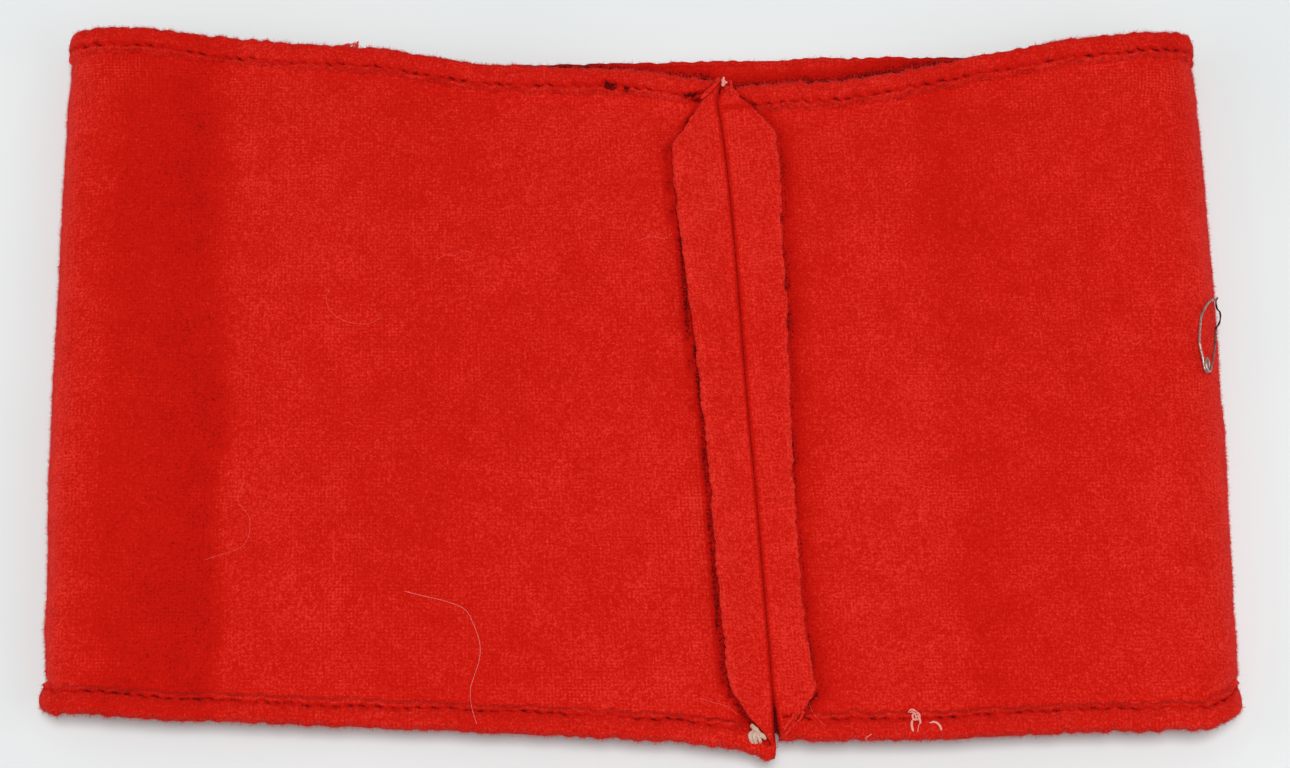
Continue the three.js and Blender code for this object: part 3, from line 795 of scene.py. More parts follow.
def build_band():
    """The band: columns round the loop and rows across it, outer face then inner face, joined as one
    ring. At the seam's own columns the lower edge is notched."""

    def pitch(d):
        from_seam = np.minimum(d, LENGTH - d)
        flat = 0.28 + 1.0 * ease(3, 9, from_seam)
        return flat - (flat - 0.6) * near_roll(d)

    d = np.concatenate([stations(pitch, 0.0, LAST_ROW), SEAM_AT + np.array([-0.2, 0.0, 0.2])])
    low, high = fold_edges(d)
    low = low + BAND_END
    high = high - BAND_END
    low = np.where(d < 2.4, np.maximum(low, -58.3 - 0.75 * d), low)
    low[-3:] = SEAM_LOW
    low[-2] = SEAM_NOTCH
    high[-3:] = SEAM_HIGH
    rows = []
    for count, side in ((92, 1), (66, -1)):
        t = np.linspace(0, 1, count)
        t = (t - 0.055 * np.sin(4 * np.pi * t))[:: side][None, :]
        y = low[:, None] + (high - low)[:, None] * t
        rows.append((d[:, None] + 0 * y, y, np.full(y.shape, side)))
    dd, yy, side = (np.concatenate([a[n] for a in (rows[0], rows[1])], axis=1) for n in range(3))
    from_end = np.minimum(yy - low[:, None], high[:, None] - yy)
    lumps = ease(0.0, 0.9, from_end)
    tucked = 0.02 * np.clip(1 - from_end / 0.12, 0, 1)
    outer = band_face(dd, yy, 1, tucked, lumps)
    inner = band_face(dd, yy, -1, tucked, lumps)
    points = np.where((side > 0)[..., None], outer, inner).reshape(-1, 3)
    faces = quads_between(*dd.shape, True)
    # painted shade: beside the allowances on the outer face, in the cavity on the inner face
    dim = np.where(side > 0, shade_beside_strips(dd, yy), cavity_shade_mark(dd, yy))
    marks = {"painted_shading": painted_shading_mark(dd, yy), "rubbed": rubbed_mark(dd, yy), "painted_shade": dim}
    cloth = np.stack([dd.ravel(), yy.ravel()], axis=-1)
    piece = make_piece("band_cloth", points, outward_faces(points, faces), RED_WOOL, cloth, marks)
    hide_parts("band")
    return piece


# Hems

# Worn holes of the upper hem: x, half width, distance from the fold edge
WORN_HOLES = ((-5.7, 0.75, 2.85), (-4.9, 0.75, 3.3), (-2.7, 0.4, 3.6), (7.5, 1.0, 3.35), (9.0, 0.9, 3.4))


def in_from_fold(d, across, side):
    """The y of a place at a distance in from the upper (+1) or lower (-1) fold edge."""
    low, high = fold_edges(d)
    return np.where(side > 0, high - across, low + across)


def stitch_line(d, side):
    """Distance of the stitch row from the fold edge."""
    seed = 61 if side > 0 else 63
    return STITCH_FROM + 0.13 * ripple(d, 0, seed, 55) + 0.05 * ripple(d, 0, seed + 1, 11)


def needle_marks(d, across, side):
    """Depth, from 0 to 1, of the slanted pull at each stitch and of the upper hem's worn holes."""
    row = stitch_line(d, side)
    beat = (np.mod(d / STITCH_PITCH + 0.10 * ripple(d, 0, 66 + side, 9), 1.0) - 0.5) * STITCH_PITCH
    slant = -0.33 if side > 0 else 0.12
    taut = np.clip(0.82 + 0.34 * ripple(d, 0, 68 + side, 6), 0.25, 1.2)
    if side < 0:
        taut = taut * ease(4.0, 11.0, d)
    marks = taut * bump(across - row - slant * beat, 0, 0.19) * bump(beat, 0, 0.78)
    worn = 0.0
    if side > 0:
        for x, wide, at in WORN_HOLES:
            ragged = 1 + 0.10 * ripple(d, across, 69, 0.9)
            worn = worn + bump(d, on_top(x, WORN_ROW), wide * ragged) * bump(across, at, 0.46 * ragged)
    return marks, np.clip(worn, 0, 1)


def hem_dent(d, across, side):
    """Depth of the outer face under the stitching: a shallow groove, the needle marks and the worn holes."""
    marks, worn = needle_marks(d, across, side)
    groove = 0.12 * bump(across, stitch_line(d, side), 0.40)
    pucker = 0.10 * bump(d, on_top(4.6, WORN_ROW), 0.30) * ease(1.6, 2.6, across) * (side > 0)
    return groove + 0.26 * marks + 0.60 * worn + pucker


def hem_height(across):
    """Height of a hem's outer face over the middle of the band: flat by the fold, and lower beyond the
    stitching."""
    return HEM_FACE - 0.34 * ease(1.9, 3.2, across) - 0.12 * ease(3.2, 3.9, across)


def hem_point(d, travel, offset, side, width):
    """A point of the turned hem. travel runs along the middle of its cloth from the band's end round the
    turn to the raw edge, and offset is the distance from that middle in half thicknesses. The turn is an
    arc of TURN_RADIUS about a centre FOLD_CENTRE from the fold edge. The straight run beyond it is
    pressed down by the stitching and thins out to a bumpy raw edge that lies on the band."""
    angle = np.clip(travel / TURN_RADIUS, 0, np.pi)
    run = np.clip(travel - ARC, 0, None)
    across = FOLD_CENTRE - TURN_RADIUS * np.sin(angle) + run
    middle = TURN_RADIUS - TURN_RADIUS * np.cos(angle)
    flat = angle >= np.pi
    top = hem_height(across)
    under = 0.80 - 0.27 * ease(1.6, 3.0, across)
    seed = 71 if side > 0 else 73
    ridge = (0.16 + 0.10 * ripple(d, across, seed, 2.0)) * bump(across, width - 0.62, 0.30)
    edge = 1 - ease(width - 0.80, width + 0.05, across)
    top = top + (ridge - hem_dent(d, across, side)) * edge
    top = under + np.maximum((top - under) * edge, 0.06)
    half = PLY / 2
    turned_across = across - offset * half * np.sin(angle) * ~flat
    turned_out = middle - offset * half * np.cos(angle)
    level = (1 + offset) / 2
    out = np.where(flat, under + (top - under) * level, turned_out)
    out = out + (offset > 0) * face_lumps(d, across, seed + 2)
    return np.where(flat, across, turned_across), out


def build_hem(name, node, side, ends):
    """A hem swept round the loop, its ends slanted: the slant and a rounding of the last half millimetre
    are taken up along the loop."""
    left_near, left_far, left_low, left_high = ends["left"]
    right_near, right_far, right_low, right_high = ends["right"]
    start = left_near
    stop = LENGTH - right_near

    def pitch(d):
        from_end = np.minimum(d - start, stop - d)
        return 0.07 + 0.23 * ease(0.2, 1.6, from_end) + 0.22 * window(d, UNDERSIDE)

    columns = stations(pitch, start, stop)
    length = ARC + HEM_WIDTH - FOLD_CENTRE
    turn = np.linspace(0, ARC, 8)[:-1]
    flat = np.concatenate([np.linspace(ARC, length - 1.6, 5), np.linspace(length - 1.4, length, 11)])
    travel = np.concatenate([turn, flat])
    travel = np.concatenate([travel, travel[::-1]])
    offset = np.concatenate([np.ones(len(turn) + len(flat)), -np.ones(len(turn) + len(flat))])
    base = columns[:, None] + 0 * travel[None, :]
    from_start = base - start
    from_stop = stop - base
    width = HEM_WIDTH + 0.10 * ripple(base, 0, 75 + side, 5) + 0.04 * ripple(base, 0, 78 + side, 1.3)
    stretched = travel[None, :] + (width - HEM_WIDTH) * ease(ARC, length, travel)[None, :]
    end_round = np.maximum(quarter_round(np.minimum(from_start, from_stop), 0.5), np.sqrt(0.03))
    across, _ = hem_point(base, stretched, offset[None, :] * end_round, side, width)
    d = (
        base
        + (left_far - left_near) * ease(left_low, left_high, across) * (1 - ease(0, END_REACH, from_start))
        - (right_far - right_near) * ease(right_low, right_high, across) * (1 - ease(0, END_REACH, from_stop))
    )
    across, out = hem_point(d, stretched, offset[None, :] * end_round, side, width)
    lip = 0.20 * bump(from_start, 0.55, 0.4) + 0.26 * bump(from_stop, 0.55, 0.4)
    out = out + lip * (offset[None, :] > 0) * (out > TURN_RADIUS)
    y = in_from_fold(d, across, side)
    points = place(d, y, out).reshape(-1, 3)
    faces = swept_ring(len(columns), len(travel))
    needled, worn = needle_marks(d, across, side)
    on_face = (offset[None, :] > 0) * (out > TURN_RADIUS)
    # dark is painted shade: in the needle holes, along the stitch groove, in the worn holes, inside the loop
    # under the upper layer and along the lower hem's raw edge near the seam
    rowed = 0.17 * bump(across, stitch_line(d, side), 0.30)
    dark = np.clip(0.60 * needled + rowed + 1.2 * worn, 0, 1) * on_face + cavity_shade_mark(d, y) * (1 - on_face)
    if side < 0:
        dark = dark + 0.5 * bump(across, width - 0.1, 0.30) * (1 - ease(5.0, 13.0, base)) * on_face
    # ridge lightens the raw edge's ridge as painted highlight
    ridge = -0.45 * bump(across, width - 0.62, 0.35) * on_face
    marks = {"painted_shading": 0.5 * painted_shading_mark(d, y) + ridge, "rubbed": 0.6 * rubbed_mark(d, y), "painted_shade": dark}
    cloth = np.stack([d.ravel(), (stretched + 0 * y).ravel()], axis=-1)
    piece = make_piece(name, points, outward_faces(points, faces), RED_WOOL, cloth, marks)
    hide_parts(node)
    return piece


def build_hem_stitches():
    """The two rows of machine stitches: one short thread for each stitch, its middle near the cloth's
    face and its ends down in the needle holes."""
    t = np.linspace(-1, 1, 7)
    rows = []
    for side, ends in ((1, TOP_ENDS), (-1, BOTTOM_ENDS)):
        first = np.ceil((ends["left"][1] + 0.3) / STITCH_PITCH)
        last = np.floor((LENGTH - ends["right"][1] - 0.3) / STITCH_PITCH)
        middle = np.arange(first, last) * STITCH_PITCH
        rng = np.random.default_rng(81 + side)
        kept = rng.uniform(size=len(middle)) > 0.04
        if side > 0:
            for x, wide, _ in WORN_HOLES:
                kept &= np.abs(middle - on_top(x, WORN_ROW)) > wide * 0.7
        middle = middle[kept]
        d = middle[:, None] + 0.80 * t[None, :]
        across = stitch_line(d, side) + rng.normal(0, 0.03, len(middle))[:, None]
        out = STITCH_HEIGHT - 0.30 * t[None, :] ** 4
        rows.append(place(d, in_from_fold(d, across, side), out + 0 * d))
    paths = np.concatenate(rows)
    radii = np.full(paths.shape[:2], 0.10) * (1 - 0.25 * np.abs(t[None, :]) ** 3)
    points, faces = tubes(paths, radii, 6)
    return make_piece("hem_stitches", points, faces, RED_THREAD)


# Seam allowances


def strip_point(y, t, face, side):
    """A point of a seam allowance. t runs from the seam to the cut edge; face is +1 on its upper side and
    -1 on its under side. The upper side rounds off at the seam and at the cut edge, and the whole lifts
    towards the cut edge."""
    width = strip_width(y, side)
    opening = 0.04 + (0.10 if side > 0 else 0.34) * (1 - ease(-56.5, -50.5, y)) + 0.08 * ease(44, 48, y)
    start = np.minimum(opening, 0.4 * width)
    across = start + (width - start) * t
    lift = read_off(LEFT_LIFT if side > 0 else RIGHT_LIFT, y) * ease(0.8, 8.0, across)
    lift = lift + 0.10 * ripple(across, y, 97 + side, 7) * ease(1.5, 4.0, across)
    from_seam = across - start
    from_cut = width - across
    seam_round = 0.50 * np.clip(1 - from_seam / (0.72 if side > 0 else 0.85), 0, 1) ** 2
    cut_round = 0.15 * (1 - quarter_round(from_cut, 0.15))
    under = PLY / 2 + 0.04 + lift + 0.5 * cut_round
    upper = PLY / 2 + 0.04 + STRIP_PLY + lift - seam_round - cut_round
    upper = upper + face_lumps(across, y, 99 + side) * ease(0, 0.6, from_seam) * ease(0, 0.4, from_cut)
    out = np.where(face > 0, np.maximum(upper, under + 0.05), under)
    d = SEAM_AT + side * across - seam_line(y)
    return d, out


def build_strip(name, node, side):
    """A seam allowance: rows down the band, each a flat ring from the seam to the cut edge and back
    underneath."""
    table = strip_table(side)
    rows = np.linspace(table[0, 0], table[-1, 0], 330)
    by_seam = np.linspace(0, 0.16, 8)[:-1]
    by_cut = np.linspace(0.92, 1.0, 9)
    t = np.concatenate([by_seam, np.linspace(0.16, 0.92, 13)[:-1], by_cut])
    ring_t = np.concatenate([t, t[::-1]])
    face = np.concatenate([np.ones(len(t)), -np.ones(len(t))])
    y = rows[:, None] + 0 * ring_t[None, :]
    d, out = strip_point(y, ring_t[None, :] + 0 * y, face[None, :] + 0 * y, side)
    points = place(d, y, out).reshape(-1, 3)
    faces = swept_ring(len(rows), len(ring_t))
    across = ring_t * strip_width(y, side)
    # painted shade: in the right allowance's fold near its top, along its tear at the foot and in the seam
    # crease, deeper at the foot
    crease_shade = 0.28 * bump(y, 45.7, 0.5) * ease(0.04, 0.2, ring_t) * (side < 0)
    tear_shade = bump(y, -54.3 + 0.30 * (across - 2.2) + 0.25 * ripple(across, 0, 45, 1.2), 0.20)
    crease_shade = crease_shade + 0.8 * tear_shade * ease(0.9, 1.3, across) * (1 - ease(2.8, 3.2, across)) * (side < 0)
    deeper = 1 + 1.6 * (1 - ease(-54.0, -50.0, y))
    crease_shade = crease_shade + (0.21 if side > 0 else 0.27) * deeper * bump(across, 0.0, 0.34 if side > 0 else 0.5)
    # pale lightens the allowance's face, and its cut edge most, as painted highlight
    pale = 0.20 + (0.55 * bump(ring_t, 1.0, 0.10) if side > 0 else 0.85 * bump(ring_t, 1.0, 0.07))
    marks = {"painted_shading": 0 * y - pale, "rubbed": 0.35 * bump(y, -46, 7) * (side < 0), "painted_shade": crease_shade}
    cloth = np.stack([d.ravel(), y.ravel()], axis=-1)
    piece = make_piece(name, points, outward_faces(points, faces), RED_WOOL, cloth, marks)
    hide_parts(node)
    return piece


# Loose hairs of the nap


def hair_mesh(root, way, side, length, radius, curl):
    """Three-sided hairs that shrink to a point: the middle line is root + length (way s + side curl s^2)
    at s of 0, 0.5 and 1, with a ring at the first two and a tip at the last. Without a curl there is no
    middle ring. Hairs that would reach the floor are left out."""
    s = np.array([0.0, 0.5, 1.0])
    bend = 0.0 if curl is None else side[:, None] * (curl[:, None] * s[None] ** 2)[..., None]
    middle = root[:, None] + length[:, None, None] * (way[:, None] * s[None, :, None] + bend)
    across = unit(np.cross(way, side))
    over = np.cross(way, across)
    angle = 2 * np.pi * np.arange(3) / 3
    ring = across[:, None] * np.cos(angle)[None, :, None] + over[:, None] * np.sin(angle)[None, :, None]
    size = radius[:, None, None]
    rings = [middle[:, :1] + size * ring, middle[:, 1:2] + 0.8 * size * ring, middle[:, 2:]]
    one = [(0, 2, 1), (0, 1, 4), (0, 4, 3), (1, 2, 5), (1, 5, 4), (2, 0, 3), (2, 3, 5)]
    one = one + [(3, 4, 6), (4, 5, 6), (5, 3, 6)]
    if curl is None:
        rings = rings[::2]
        one = [(0, 2, 1), (0, 1, 3), (1, 2, 3), (2, 0, 3)]
    points = np.concatenate(rings, axis=1)
    points = points[points[:, :, 2].min(axis=1) > HAIR_CLEAR]
    one = np.array(one)
    if volume(points[0], one) < 0:
        one = one[:, ::-1]
    faces = one[None] + points.shape[1] * np.arange(len(points))[:, None, None]
    return points.reshape(-1, 3), faces.reshape(-1, 3)


def grow_hairs(surface, turned, a, b, rng, length, spread, radius=0.028, curly=False):
    """Hairs on a surface given as a function of a and b: each stands on the cross product of the
    surface's two small steps, taken the other way round where turned is -1, and leans at random by
    spread."""
    here = surface(a, b)
    normal = turned * unit(np.cross(surface(a + 0.05, b) - here, surface(a, b + 0.05) - here))
    loose = unit(rng.normal(size=here.shape))
    way = unit(normal + spread * loose)
    side = unit(np.cross(way, rng.normal(size=here.shape)))
    size = length * np.clip(rng.lognormal(0, 0.42, len(a)), 0.3, 2.2)
    thick = radius * rng.uniform(0.7, 1.3, len(a))
    curl = rng.normal(0, 0.5, len(a)) if curly else None
    return hair_mesh(here - 0.03 * way, way, side, size, thick, curl)


def between_folds(rng, d, margin):
    """Random y, a margin or more in from both fold edges."""
    low, high = fold_edges(d)
    return low + margin + (high - low - 2 * margin) * rng.uniform(size=len(d))


def build_face_nap():
    """Hairs over the band's outer face, lying nearly flat."""
    rng = np.random.default_rng(5)
    parts = []
    for start, stop, count in ((0.0, 108.0, 13500), (LAST_ROW - 88.0, LAST_ROW, 11000)):
        d = rng.uniform(start, stop, count)
        y = between_folds(rng, d, 4.6)
        parts.append(grow_hairs(lambda a, b: band_face(a, b, 1), NAP_TURN, d, y, rng, 0.44, 2.2, 0.024))
    return make_piece("face_nap", *join(parts), RED_HAIR)


def build_roll_nap():
    """Hairs standing out round the two rolled sides, where they show against the floor, lighter as painted
    sheen.
    """
    rng = np.random.default_rng(6)
    d = np.concatenate([rng.normal(middle, 2.4, 17500) for middle in ROLL_MIDDLES])
    y = between_folds(rng, d, 3.0)
    points, faces = grow_hairs(lambda a, b: band_face(a, b, 1), NAP_TURN, d, y, rng, 0.42, 1.0, 0.032)
    return make_piece("roll_nap", points, faces, ROLL_HAIR_PAINTED_SHEEN)


def build_hem_nap():
    """Hairs on the two hems: round the fold, over the outer face and along the raw edge."""
    rng = np.random.default_rng(7)
    fold_parts = []
    face_parts = []
    for side in (1, -1):

        def surface(a, b, side=side):
            across, out = hem_point(a, b, 1.0 + 0 * b, side, HEM_WIDTH + 0 * b)
            return place(a, in_from_fold(a, across, side), out)

        for kept, count, low_travel, high_travel, length, spread, reach in (
            (fold_parts, 8600, 0.25 * ARC, 0.85 * ARC, 0.40, 0.9, 0.3),
            (face_parts, 5000, ARC, ARC + 2.4, 0.45, 1.7, 4.9),
            (face_parts, 5000, ARC + 2.55, ARC + 3.30, 0.40, 1.5, 4.9),
        ):
            upper = rng.uniform(size=count) < 0.85
            left = rng.uniform(size=count) < 0.56
            on_left = rng.uniform(reach, LOWER_START, count)
            on_right = rng.uniform(LOWER_STOP, LENGTH - reach, count)
            on_lower = rng.uniform(LOWER_START, LOWER_STOP, count)
            d = np.where(upper, np.where(left, on_left, on_right), on_lower)
            travel = rng.uniform(low_travel, high_travel, count)
            on_fold = kept is fold_parts
            if side > 0 and on_fold:
                x = loop_at(d)[:, 0]
                smooth = upper & (x > -14) & (x < 66) & (rng.uniform(size=count) < 0.75)
                d, travel = d[~smooth], travel[~smooth]
            turned = -side * NAP_TURN
            kept.append(grow_hairs(surface, turned, d, travel, rng, length, spread, 0.026, on_fold))
    # the fold hairs are lighter as painted sheen
    make_piece("hem_fold_nap", *join(fold_parts), FOLD_HAIR_PAINTED_SHEEN)
    return make_piece("hem_face_nap", *join(face_parts), RED_HAIR)


def build_strip_nap():
    """Hairs along the cut edges of the allowances and over their faces."""
    rng = np.random.default_rng(8)
    parts = []
    for side in (1, -1):
        table = strip_table(side)

        def surface(a, b, side=side):
            d, out = strip_point(a, b, 1.0 + 0 * b, side)
            return place(d, a, out)

        for count, low_t, high_t, length, spread in (
            (2600, 0.95, 1.0, 0.36, 1.3),
            (1100, 0.1, 0.95, 0.40, 2.3),
        ):
            y = rng.uniform(table[-1, 0], table[0, 0], count)
            t = rng.uniform(low_t, high_t, count)
            parts.append(grow_hairs(surface, -side * NAP_TURN, y, t, rng, length, spread, 0.026))
    return make_piece("allowance_nap", *join(parts), RED_HAIR)


def join(parts):
    """Several sets of points and triangles as one."""
    shift = np.cumsum([0] + [len(points) for points, _ in parts[:-1]])
    return (
        np.concatenate([points for points, _ in parts]),
        np.concatenate([faces + start for (_, faces), start in zip(parts, shift)]),
    )


# Stray threads and lint

# Hairs lying on the cloth, the long one first: points in x and y
LINT = (
    ((-37.0, -34.9), (-33.8, -35.7), (-30.7, -36.4), (-27.6, -37.7), (-26.2, -40.1), (-25.2, -43.2),
     (-25.3, -45.6), (-26.0, -47.9), (-26.6, -50.2), (-26.3, -53.0), (-25.5, -55.7)),
    ((-50.0, 14.4), (-50.5, 12.7), (-49.9, 10.9), (-48.3, 9.5), (-45.9, 8.7), (-43.5, 8.7), (-41.6, 9.7)),
    ((-33.3, 19.1), (-31.8, 20.1), (-30.2, 20.1), (-29.0, 20.8), (-27.4, 20.4), (-28.7, 19.1), (-30.0, 19.8)),
    ((-0.5, 22.8), (1.5, 23.5), (3.4, 23.1), (4.7, 24.0)),
    ((77.1, 6.0), (78.4, 5.2), (79.2, 6.0)),
    ((-68.2, -29.8), (-62.1, -27.4), (-61.4, -23.4), (-63.4, -20.2), (-62.4, -17.0)),
    ((8.8, -51.5), (10.6, -52.1), (12.6, -52.6), (14.6, -54.0)),
    ((25.4, -51.8), (26.4, -54.3), (28.0, -56.0)),
)  # fmt: skip


def laid_path(rows, lift, count):
    """A smooth path over the upper layer through points in x and y, lifted off its face."""
    rows = np.asarray(rows, float)
    flat = smooth_path(np.column_stack([rows, np.zeros(len(rows))]), count)
    d = on_top(flat[:, 0], flat[:, 1])
    low, high = fold_edges(d)
    inside = np.minimum(flat[:, 1] - low, high - flat[:, 1])
    hem = hem_height(inside) + FOLD_CENTRE * (quarter_round(inside, FOLD_CENTRE) - 1)
    face = PLY / 2 + (hem - PLY / 2) * (1 - ease(3.9, 4.7, inside))
    return place(d, flat[:, 1], face + lift)


def build_lint():
    """Hairs lying on the cloth: one long pale one and several faint ones."""
    parts = []
    count = 60
    for n, rows in enumerate(LINT):
        path = laid_path(rows, 0.07 + 0.03 * np.sin(np.linspace(0, 9, count)), count)
        parts.append(thread(path, 0.024 if n == 0 else 0.017, 5))
    make_piece("long_lint_hair", *parts[0], PALE_LINT)
    return make_piece("faint_lint", *join(parts[1:]), PINK_HAIR)


def wound(rng, centre, size, turns, count):
    """A tangled bit of thread: a path through seeded points about a centre."""
    rows = centre + rng.normal(size=(turns, 3)) * size
    return smooth_path(rows, count)


def build_thread_ends():
    """Undyed sewing thread where it was knotted off: a bead at the seam's top, a knot with two tails on
    the lower hem and a short arc beside it."""
    rng = np.random.default_rng(9)
    parts = []
    top = np.array([13.15, 49.4, 10.3])
    for _ in range(6):
        parts.append(thread(wound(rng, top, (0.20, 0.34, 0.12), 5, 26), 0.18, 6))
    for rows, thick in (
        (((40.73, -53.8), (41.0, -53.4), (41.5, -53.35), (41.96, -53.74), (42.39, -54.4), (42.1, -55.0)),
         0.18),
        (((42.1, -55.0), (41.6, -55.05), (41.3, -54.6), (41.4, -54.15), (41.9, -54.1), (42.25, -54.6)),
         0.17),
        (((40.95, -53.85), (41.3, -53.75), (41.6, -54.0), (41.85, -54.6), (41.75, -54.85)), 0.15),
        (((42.2, -54.6), (42.4, -55.05), (42.45, -55.55)), 0.18),
        (((41.35, -54.9), (41.15, -55.4), (41.1, -56.0), (41.27, -56.75)), 0.19),
        (((43.9, -55.55), (44.5, -55.40), (45.05, -55.65), (45.4, -56.05), (45.6, -56.6)), 0.19),
    ):  # fmt: skip
        count = 30
        height = 0.16 + 0.10 * np.sin(np.linspace(0.5, 5.5, count))
        radii = thick * (0.55 + 0.45 * ease(0, 9, np.arange(count)))
        parts.append(thread(laid_path(rows, height, count), radii, 8))
    for rows in (
        ((42.4, -55.5), (42.15, -56.0), (42.0, -56.9)),
        ((34.9, -57.3), (34.1, -57.9), (34.9, -58.4)),
    ):
        parts.append(thread(laid_path(rows, 0.12, 20), 0.055, 6))
    return make_piece("thread_ends", *join(parts), PALE_THREAD)


def build_foot_tuft():
    """Raw thread bunched in the notch at the seam's foot: fat limp strands, one above and three fanned
    below it."""
    rng = np.random.default_rng(10)
    parts = []
    count = 22
    for rows, thick in (
        (((16.7, -55.9, 9.5), (17.0, -56.3, 10.0), (17.35, -56.7, 10.1), (17.6, -57.0, 9.9)), 0.40),
        (((17.1, -56.7, 9.6), (16.55, -57.2, 9.9), (16.5, -57.9, 9.7), (16.85, -58.45, 9.2)), 0.38),
        (((17.25, -56.8, 9.6), (16.95, -57.4, 10.0), (17.1, -58.0, 9.8), (17.35, -58.5, 9.3)), 0.36),
        (((17.4, -56.8, 9.6), (17.5, -57.4, 10.0), (17.75, -58.0, 9.8), (17.95, -58.4, 9.3)), 0.36),
        (((17.5, -56.8, 9.6), (18.0, -57.2, 9.9), (18.4, -57.5, 9.8), (18.7, -57.85, 9.4)), 0.34),
    ):
        for _ in range(3):
            path = smooth_path(np.array(rows) + rng.normal(0, 0.08, (len(rows), 3)), count)
            swell = thick * rng.uniform(0.72, 0.92) * (0.75 + 0.25 * np.sin(np.linspace(0.2, 3.0, count)))
            parts.append(thread(path, swell, 8))
    return make_piece("foot_tuft", *join(parts), RAW_THREAD)


def build_pulled_tuft():
    """A pinch of wool pulled out of the top fold near its left end: strands that leave the edge, lean to
    the right and end ragged, the longest at the right."""
    rng = np.random.default_rng(12)
    count = 44
    places = np.sort(rng.uniform(-49.3, -46.6, count))
    edges = fold_edges(on_top(places, np.full(count, 57.0)))[1]
    parts = []
    for x, edge in zip(places, edges):
        rise = (0.25 + 0.85 * ease(-49.6, -47.0, x)) * rng.uniform(0.45, 1.1)
        lean = rng.uniform(0.1, 0.9) * ease(-46.1, -48.0, x) + rng.uniform(-0.1, 0.15)
        held = ((x, edge - 0.6), (x, edge - 0.1))
        free = ((x + 0.4 * lean, edge + 0.55 * rise), (x + lean, edge + rise))
        strand = laid_path(held + free, rng.normal(0.05, 0.14), 12)
        parts.append(thread(strand, rng.uniform(0.04, 0.075), 5))
    return make_piece("pulled_wool_tuft", *join(parts), RED_HAIR)


def build_hem_curls():
    """The rolled, worn ends of the hems: two thin rolls of cloth slanting across the lower right end, a
    lip along the upper left end and a short roll on the upper right one."""
    parts = []
    outer = (
        (24.5, -53.9, 10.2), (24.1, -54.9, 10.4), (23.2, -55.8, 10.4), (22.4, -56.6, 10.3),
        (21.7, -57.5, 10.0),
    )  # fmt: skip
    inner = ((23.1, -54.2, 10.2), (22.7, -55.1, 10.5), (22.1, -55.8, 10.4), (21.6, -56.7, 10.2))
    upper = ((12.3, 50.4, 9.2), (12.0, 49.5, 9.9), (11.2, 48.5, 10.0), (10.3, 47.7, 9.9), (9.6, 47.0, 9.6))
    fuzzy = ((14.2, 50.0, 9.4), (14.35, 49.2, 10.0), (14.35, 48.3, 10.15), (14.4, 47.5, 10.0))
    for rows, size in ((outer, 0.30), (inner, 0.24), (upper, 0.42), (fuzzy, 0.30)):
        count = 34
        path = smooth_path(rows, count)
        radii = size * (0.85 + 0.15 * np.cos(np.linspace(0, 9, count)))
        parts.append(thread(path, radii, 10))
    points, faces = join(parts)
    cloth = points[:, :2]
    # lighter than the band as painted highlight on the rolled ends
    marks = {"painted_shading": np.full(len(points), -0.6)}
    return make_piece("hem_end_curls", points, faces, RED_WOOL, cloth, marks)


# Safety pin


def build_pin():
    """The safety pin: one wire from its head down an arm, round the coil and up the other arm to its bent
    end. A point is the centre plus across down the slope, y along the band and off out of the slope."""
    turn = np.arange(int(COIL_TURNS * 16) + 1) * np.pi / 8
    coil = np.column_stack(
        [
            COIL_AT[0] - COIL_RADII[0] * np.cos(turn),
            COIL_AT[1] - COIL_RADII[1] * np.sin(turn),
            COIL_STEP * turn / (2 * np.pi),
        ]
    )
    rows = np.vstack([HEAD_ARM, coil, POINT_ARM])
    flat = smooth_path(rows, PIN_STATIONS)
    path = np.column_stack(
        [
            PIN_CENTRE[0] + flat[:, 0] * np.cos(PIN_TILT) + flat[:, 2] * np.sin(PIN_TILT),
            flat[:, 1],
            PIN_CENTRE[1] - flat[:, 0] * np.sin(PIN_TILT) + flat[:, 2] * np.cos(PIN_TILT),
        ]
    )
    share = np.linspace(0, 1, PIN_STATIONS)
    black = ease(0.79, 0.81, share) * (1 - 0.8 * ease(0.955, 0.975, share)) + 0.7 * bump(share, 0.735, 0.008)
    radius = WIRE / 2 * (1 - 0.22 * ease(0.57, 0.62, share) + 0.07 * ripple(share * 40, 0, 3, 2))
    points, faces = thread(path, radius, PIN_SIDES)
    rust = 0.20 + 0.45 * ease(0.56, 0.64, share)
    rust = rust + 0.35 * bump(share, 0.135, 0.02) + 0.25 * bump(share, 0.48, 0.06)
    marks = {
        mark: np.concatenate([np.repeat(values, PIN_SIDES), values[:1], values[-1:]])
        for mark, values in (("rust", rust), ("black", black))
    }
    piece = make_piece("pin_wire", points, faces, PIN_WIRE, marks=marks, slot="pin_steel")
    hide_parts("safety_pin")
    return piece


# Floor, camera and light


def build_floor():
    """A wide pale table top just under the cloth."""
    mesh = bpy.data.meshes.new("table_top")
    signs = ((-1, -1), (1, -1), (1, 1), (-1, 1))
    corners = [(TABLE_REACH * x, TABLE_REACH * y, TABLE_HEIGHT) for x, y in signs]
    mesh.from_pydata(corners, [], [(0, 1, 2, 3)])
    material, tree, surface = new_material("pale_table", Roughness=0.75)
    surface.inputs["Specular IOR Level"].default_value = 0.05
    where = object_place(tree)
    soft = noise(tree, where, 14.0, 2.0)
    colour = ramp(tree, soft, [(0.35, (0.784, 0.820, 0.822)), (0.65, (0.824, 0.858, 0.858))])
    tree.links.new(colour, surface.inputs["Base Color"])
    mesh.materials.append(material)
    floor = bpy.data.objects.new("table_top", mesh)
    bpy.context.scene.collection.objects.link(floor)


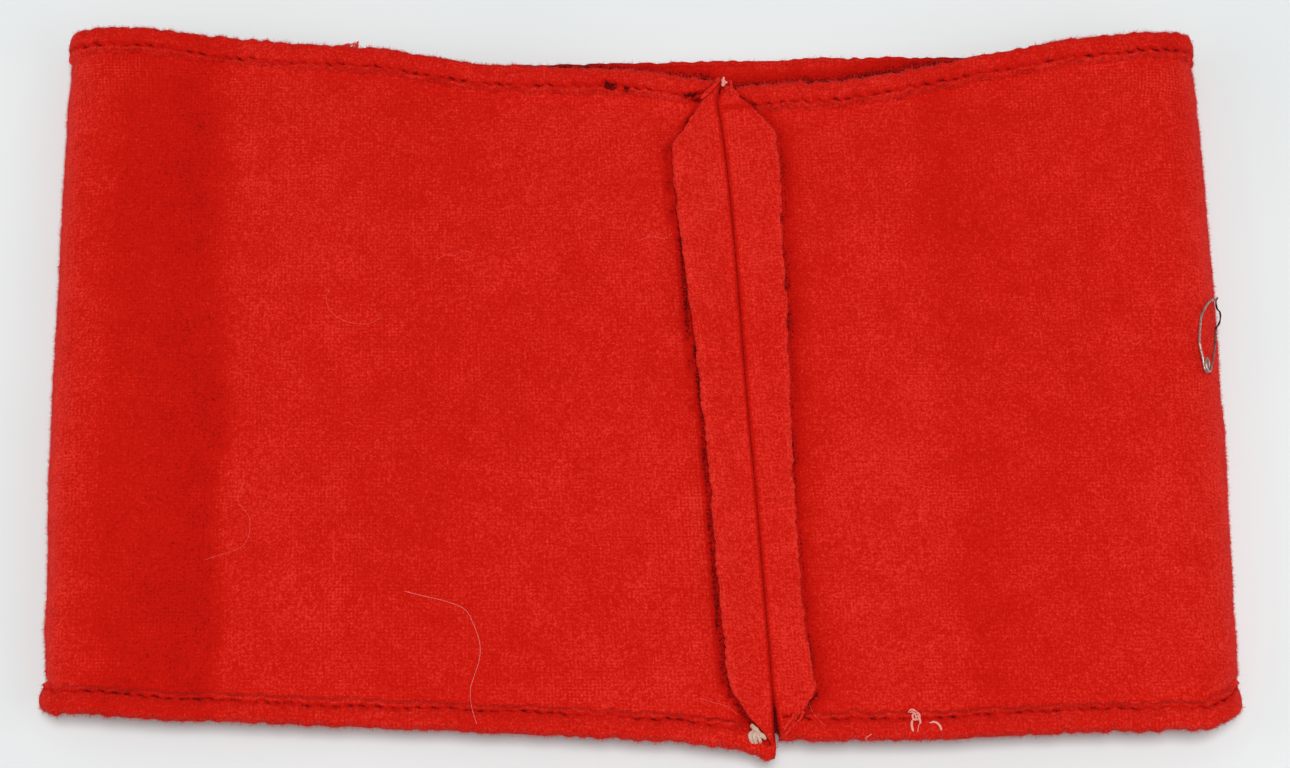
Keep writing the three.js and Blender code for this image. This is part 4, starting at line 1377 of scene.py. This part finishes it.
def add_area(name, spot, size, power):
    """A soft white square lamp at a spot, facing the origin."""
    lamp = bpy.data.lights.new(name, "AREA")
    lamp.size = size
    lamp.energy = power
    holder = bpy.data.objects.new(name, lamp)
    bpy.context.scene.collection.objects.link(holder)
    holder.location = spot
    holder.rotation_euler = (-Vector(spot)).to_track_quat("-Z", "Y").to_euler()


def build_stage():
    """Table, pale surroundings, a soft lamp overhead and a weaker one on each side, and the camera above
    the near edge."""
    build_floor()
    scene = bpy.context.scene
    world = bpy.data.worlds.new("pale_surroundings")
    world.use_nodes = True
    world.node_tree.nodes["Background"].inputs["Color"].default_value = (1.0, 1.0, 1.0, 1.0)
    world.node_tree.nodes["Background"].inputs["Strength"].default_value = 0.29
    scene.world = world
    add_area("soft_overhead", (0.02, -0.10, 1.0), 0.28, 6.1)
    add_area("soft_left", (-0.75, -0.06, 0.45), 0.5, 1.05)
    add_area("soft_right", (0.66, -0.20, 0.58), 0.5, 1.2)
    camera = bpy.data.cameras.new("view")
    camera.lens = FOCAL_LENGTH
    camera.sensor_width = 36.0
    camera.shift_x, camera.shift_y = (pixels / FRAME_WIDTH for pixels in SHIFT_PIXELS)
    holder = bpy.data.objects.new("view", camera)
    scene.collection.objects.link(holder)
    holder.location = (0, -CAMERA_DISTANCE * np.sin(CAMERA_TILT), CAMERA_DISTANCE * np.cos(CAMERA_TILT))
    holder.rotation_euler = (CAMERA_TILT, 0, 0)
    scene.camera = holder
    scene.view_settings.view_transform = "Standard"


build_stage()
band = build_band()
top_hem = build_hem("top_hem_cloth", "top_hem", 1, TOP_ENDS)
bottom_hem = build_hem("bottom_hem_cloth", "bottom_hem", -1, BOTTOM_ENDS)
left_strip = build_strip("left_allowance_cloth", "seam_allowance_left", 1)
right_strip = build_strip("right_allowance_cloth", "seam_allowance_right", -1)
stitches = build_hem_stitches()
build_face_nap()
build_roll_nap()
build_hem_nap()
build_strip_nap()
build_lint()
build_thread_ends()
build_foot_tuft()
build_pulled_tuft()
curls = build_hem_curls()
build_pin()
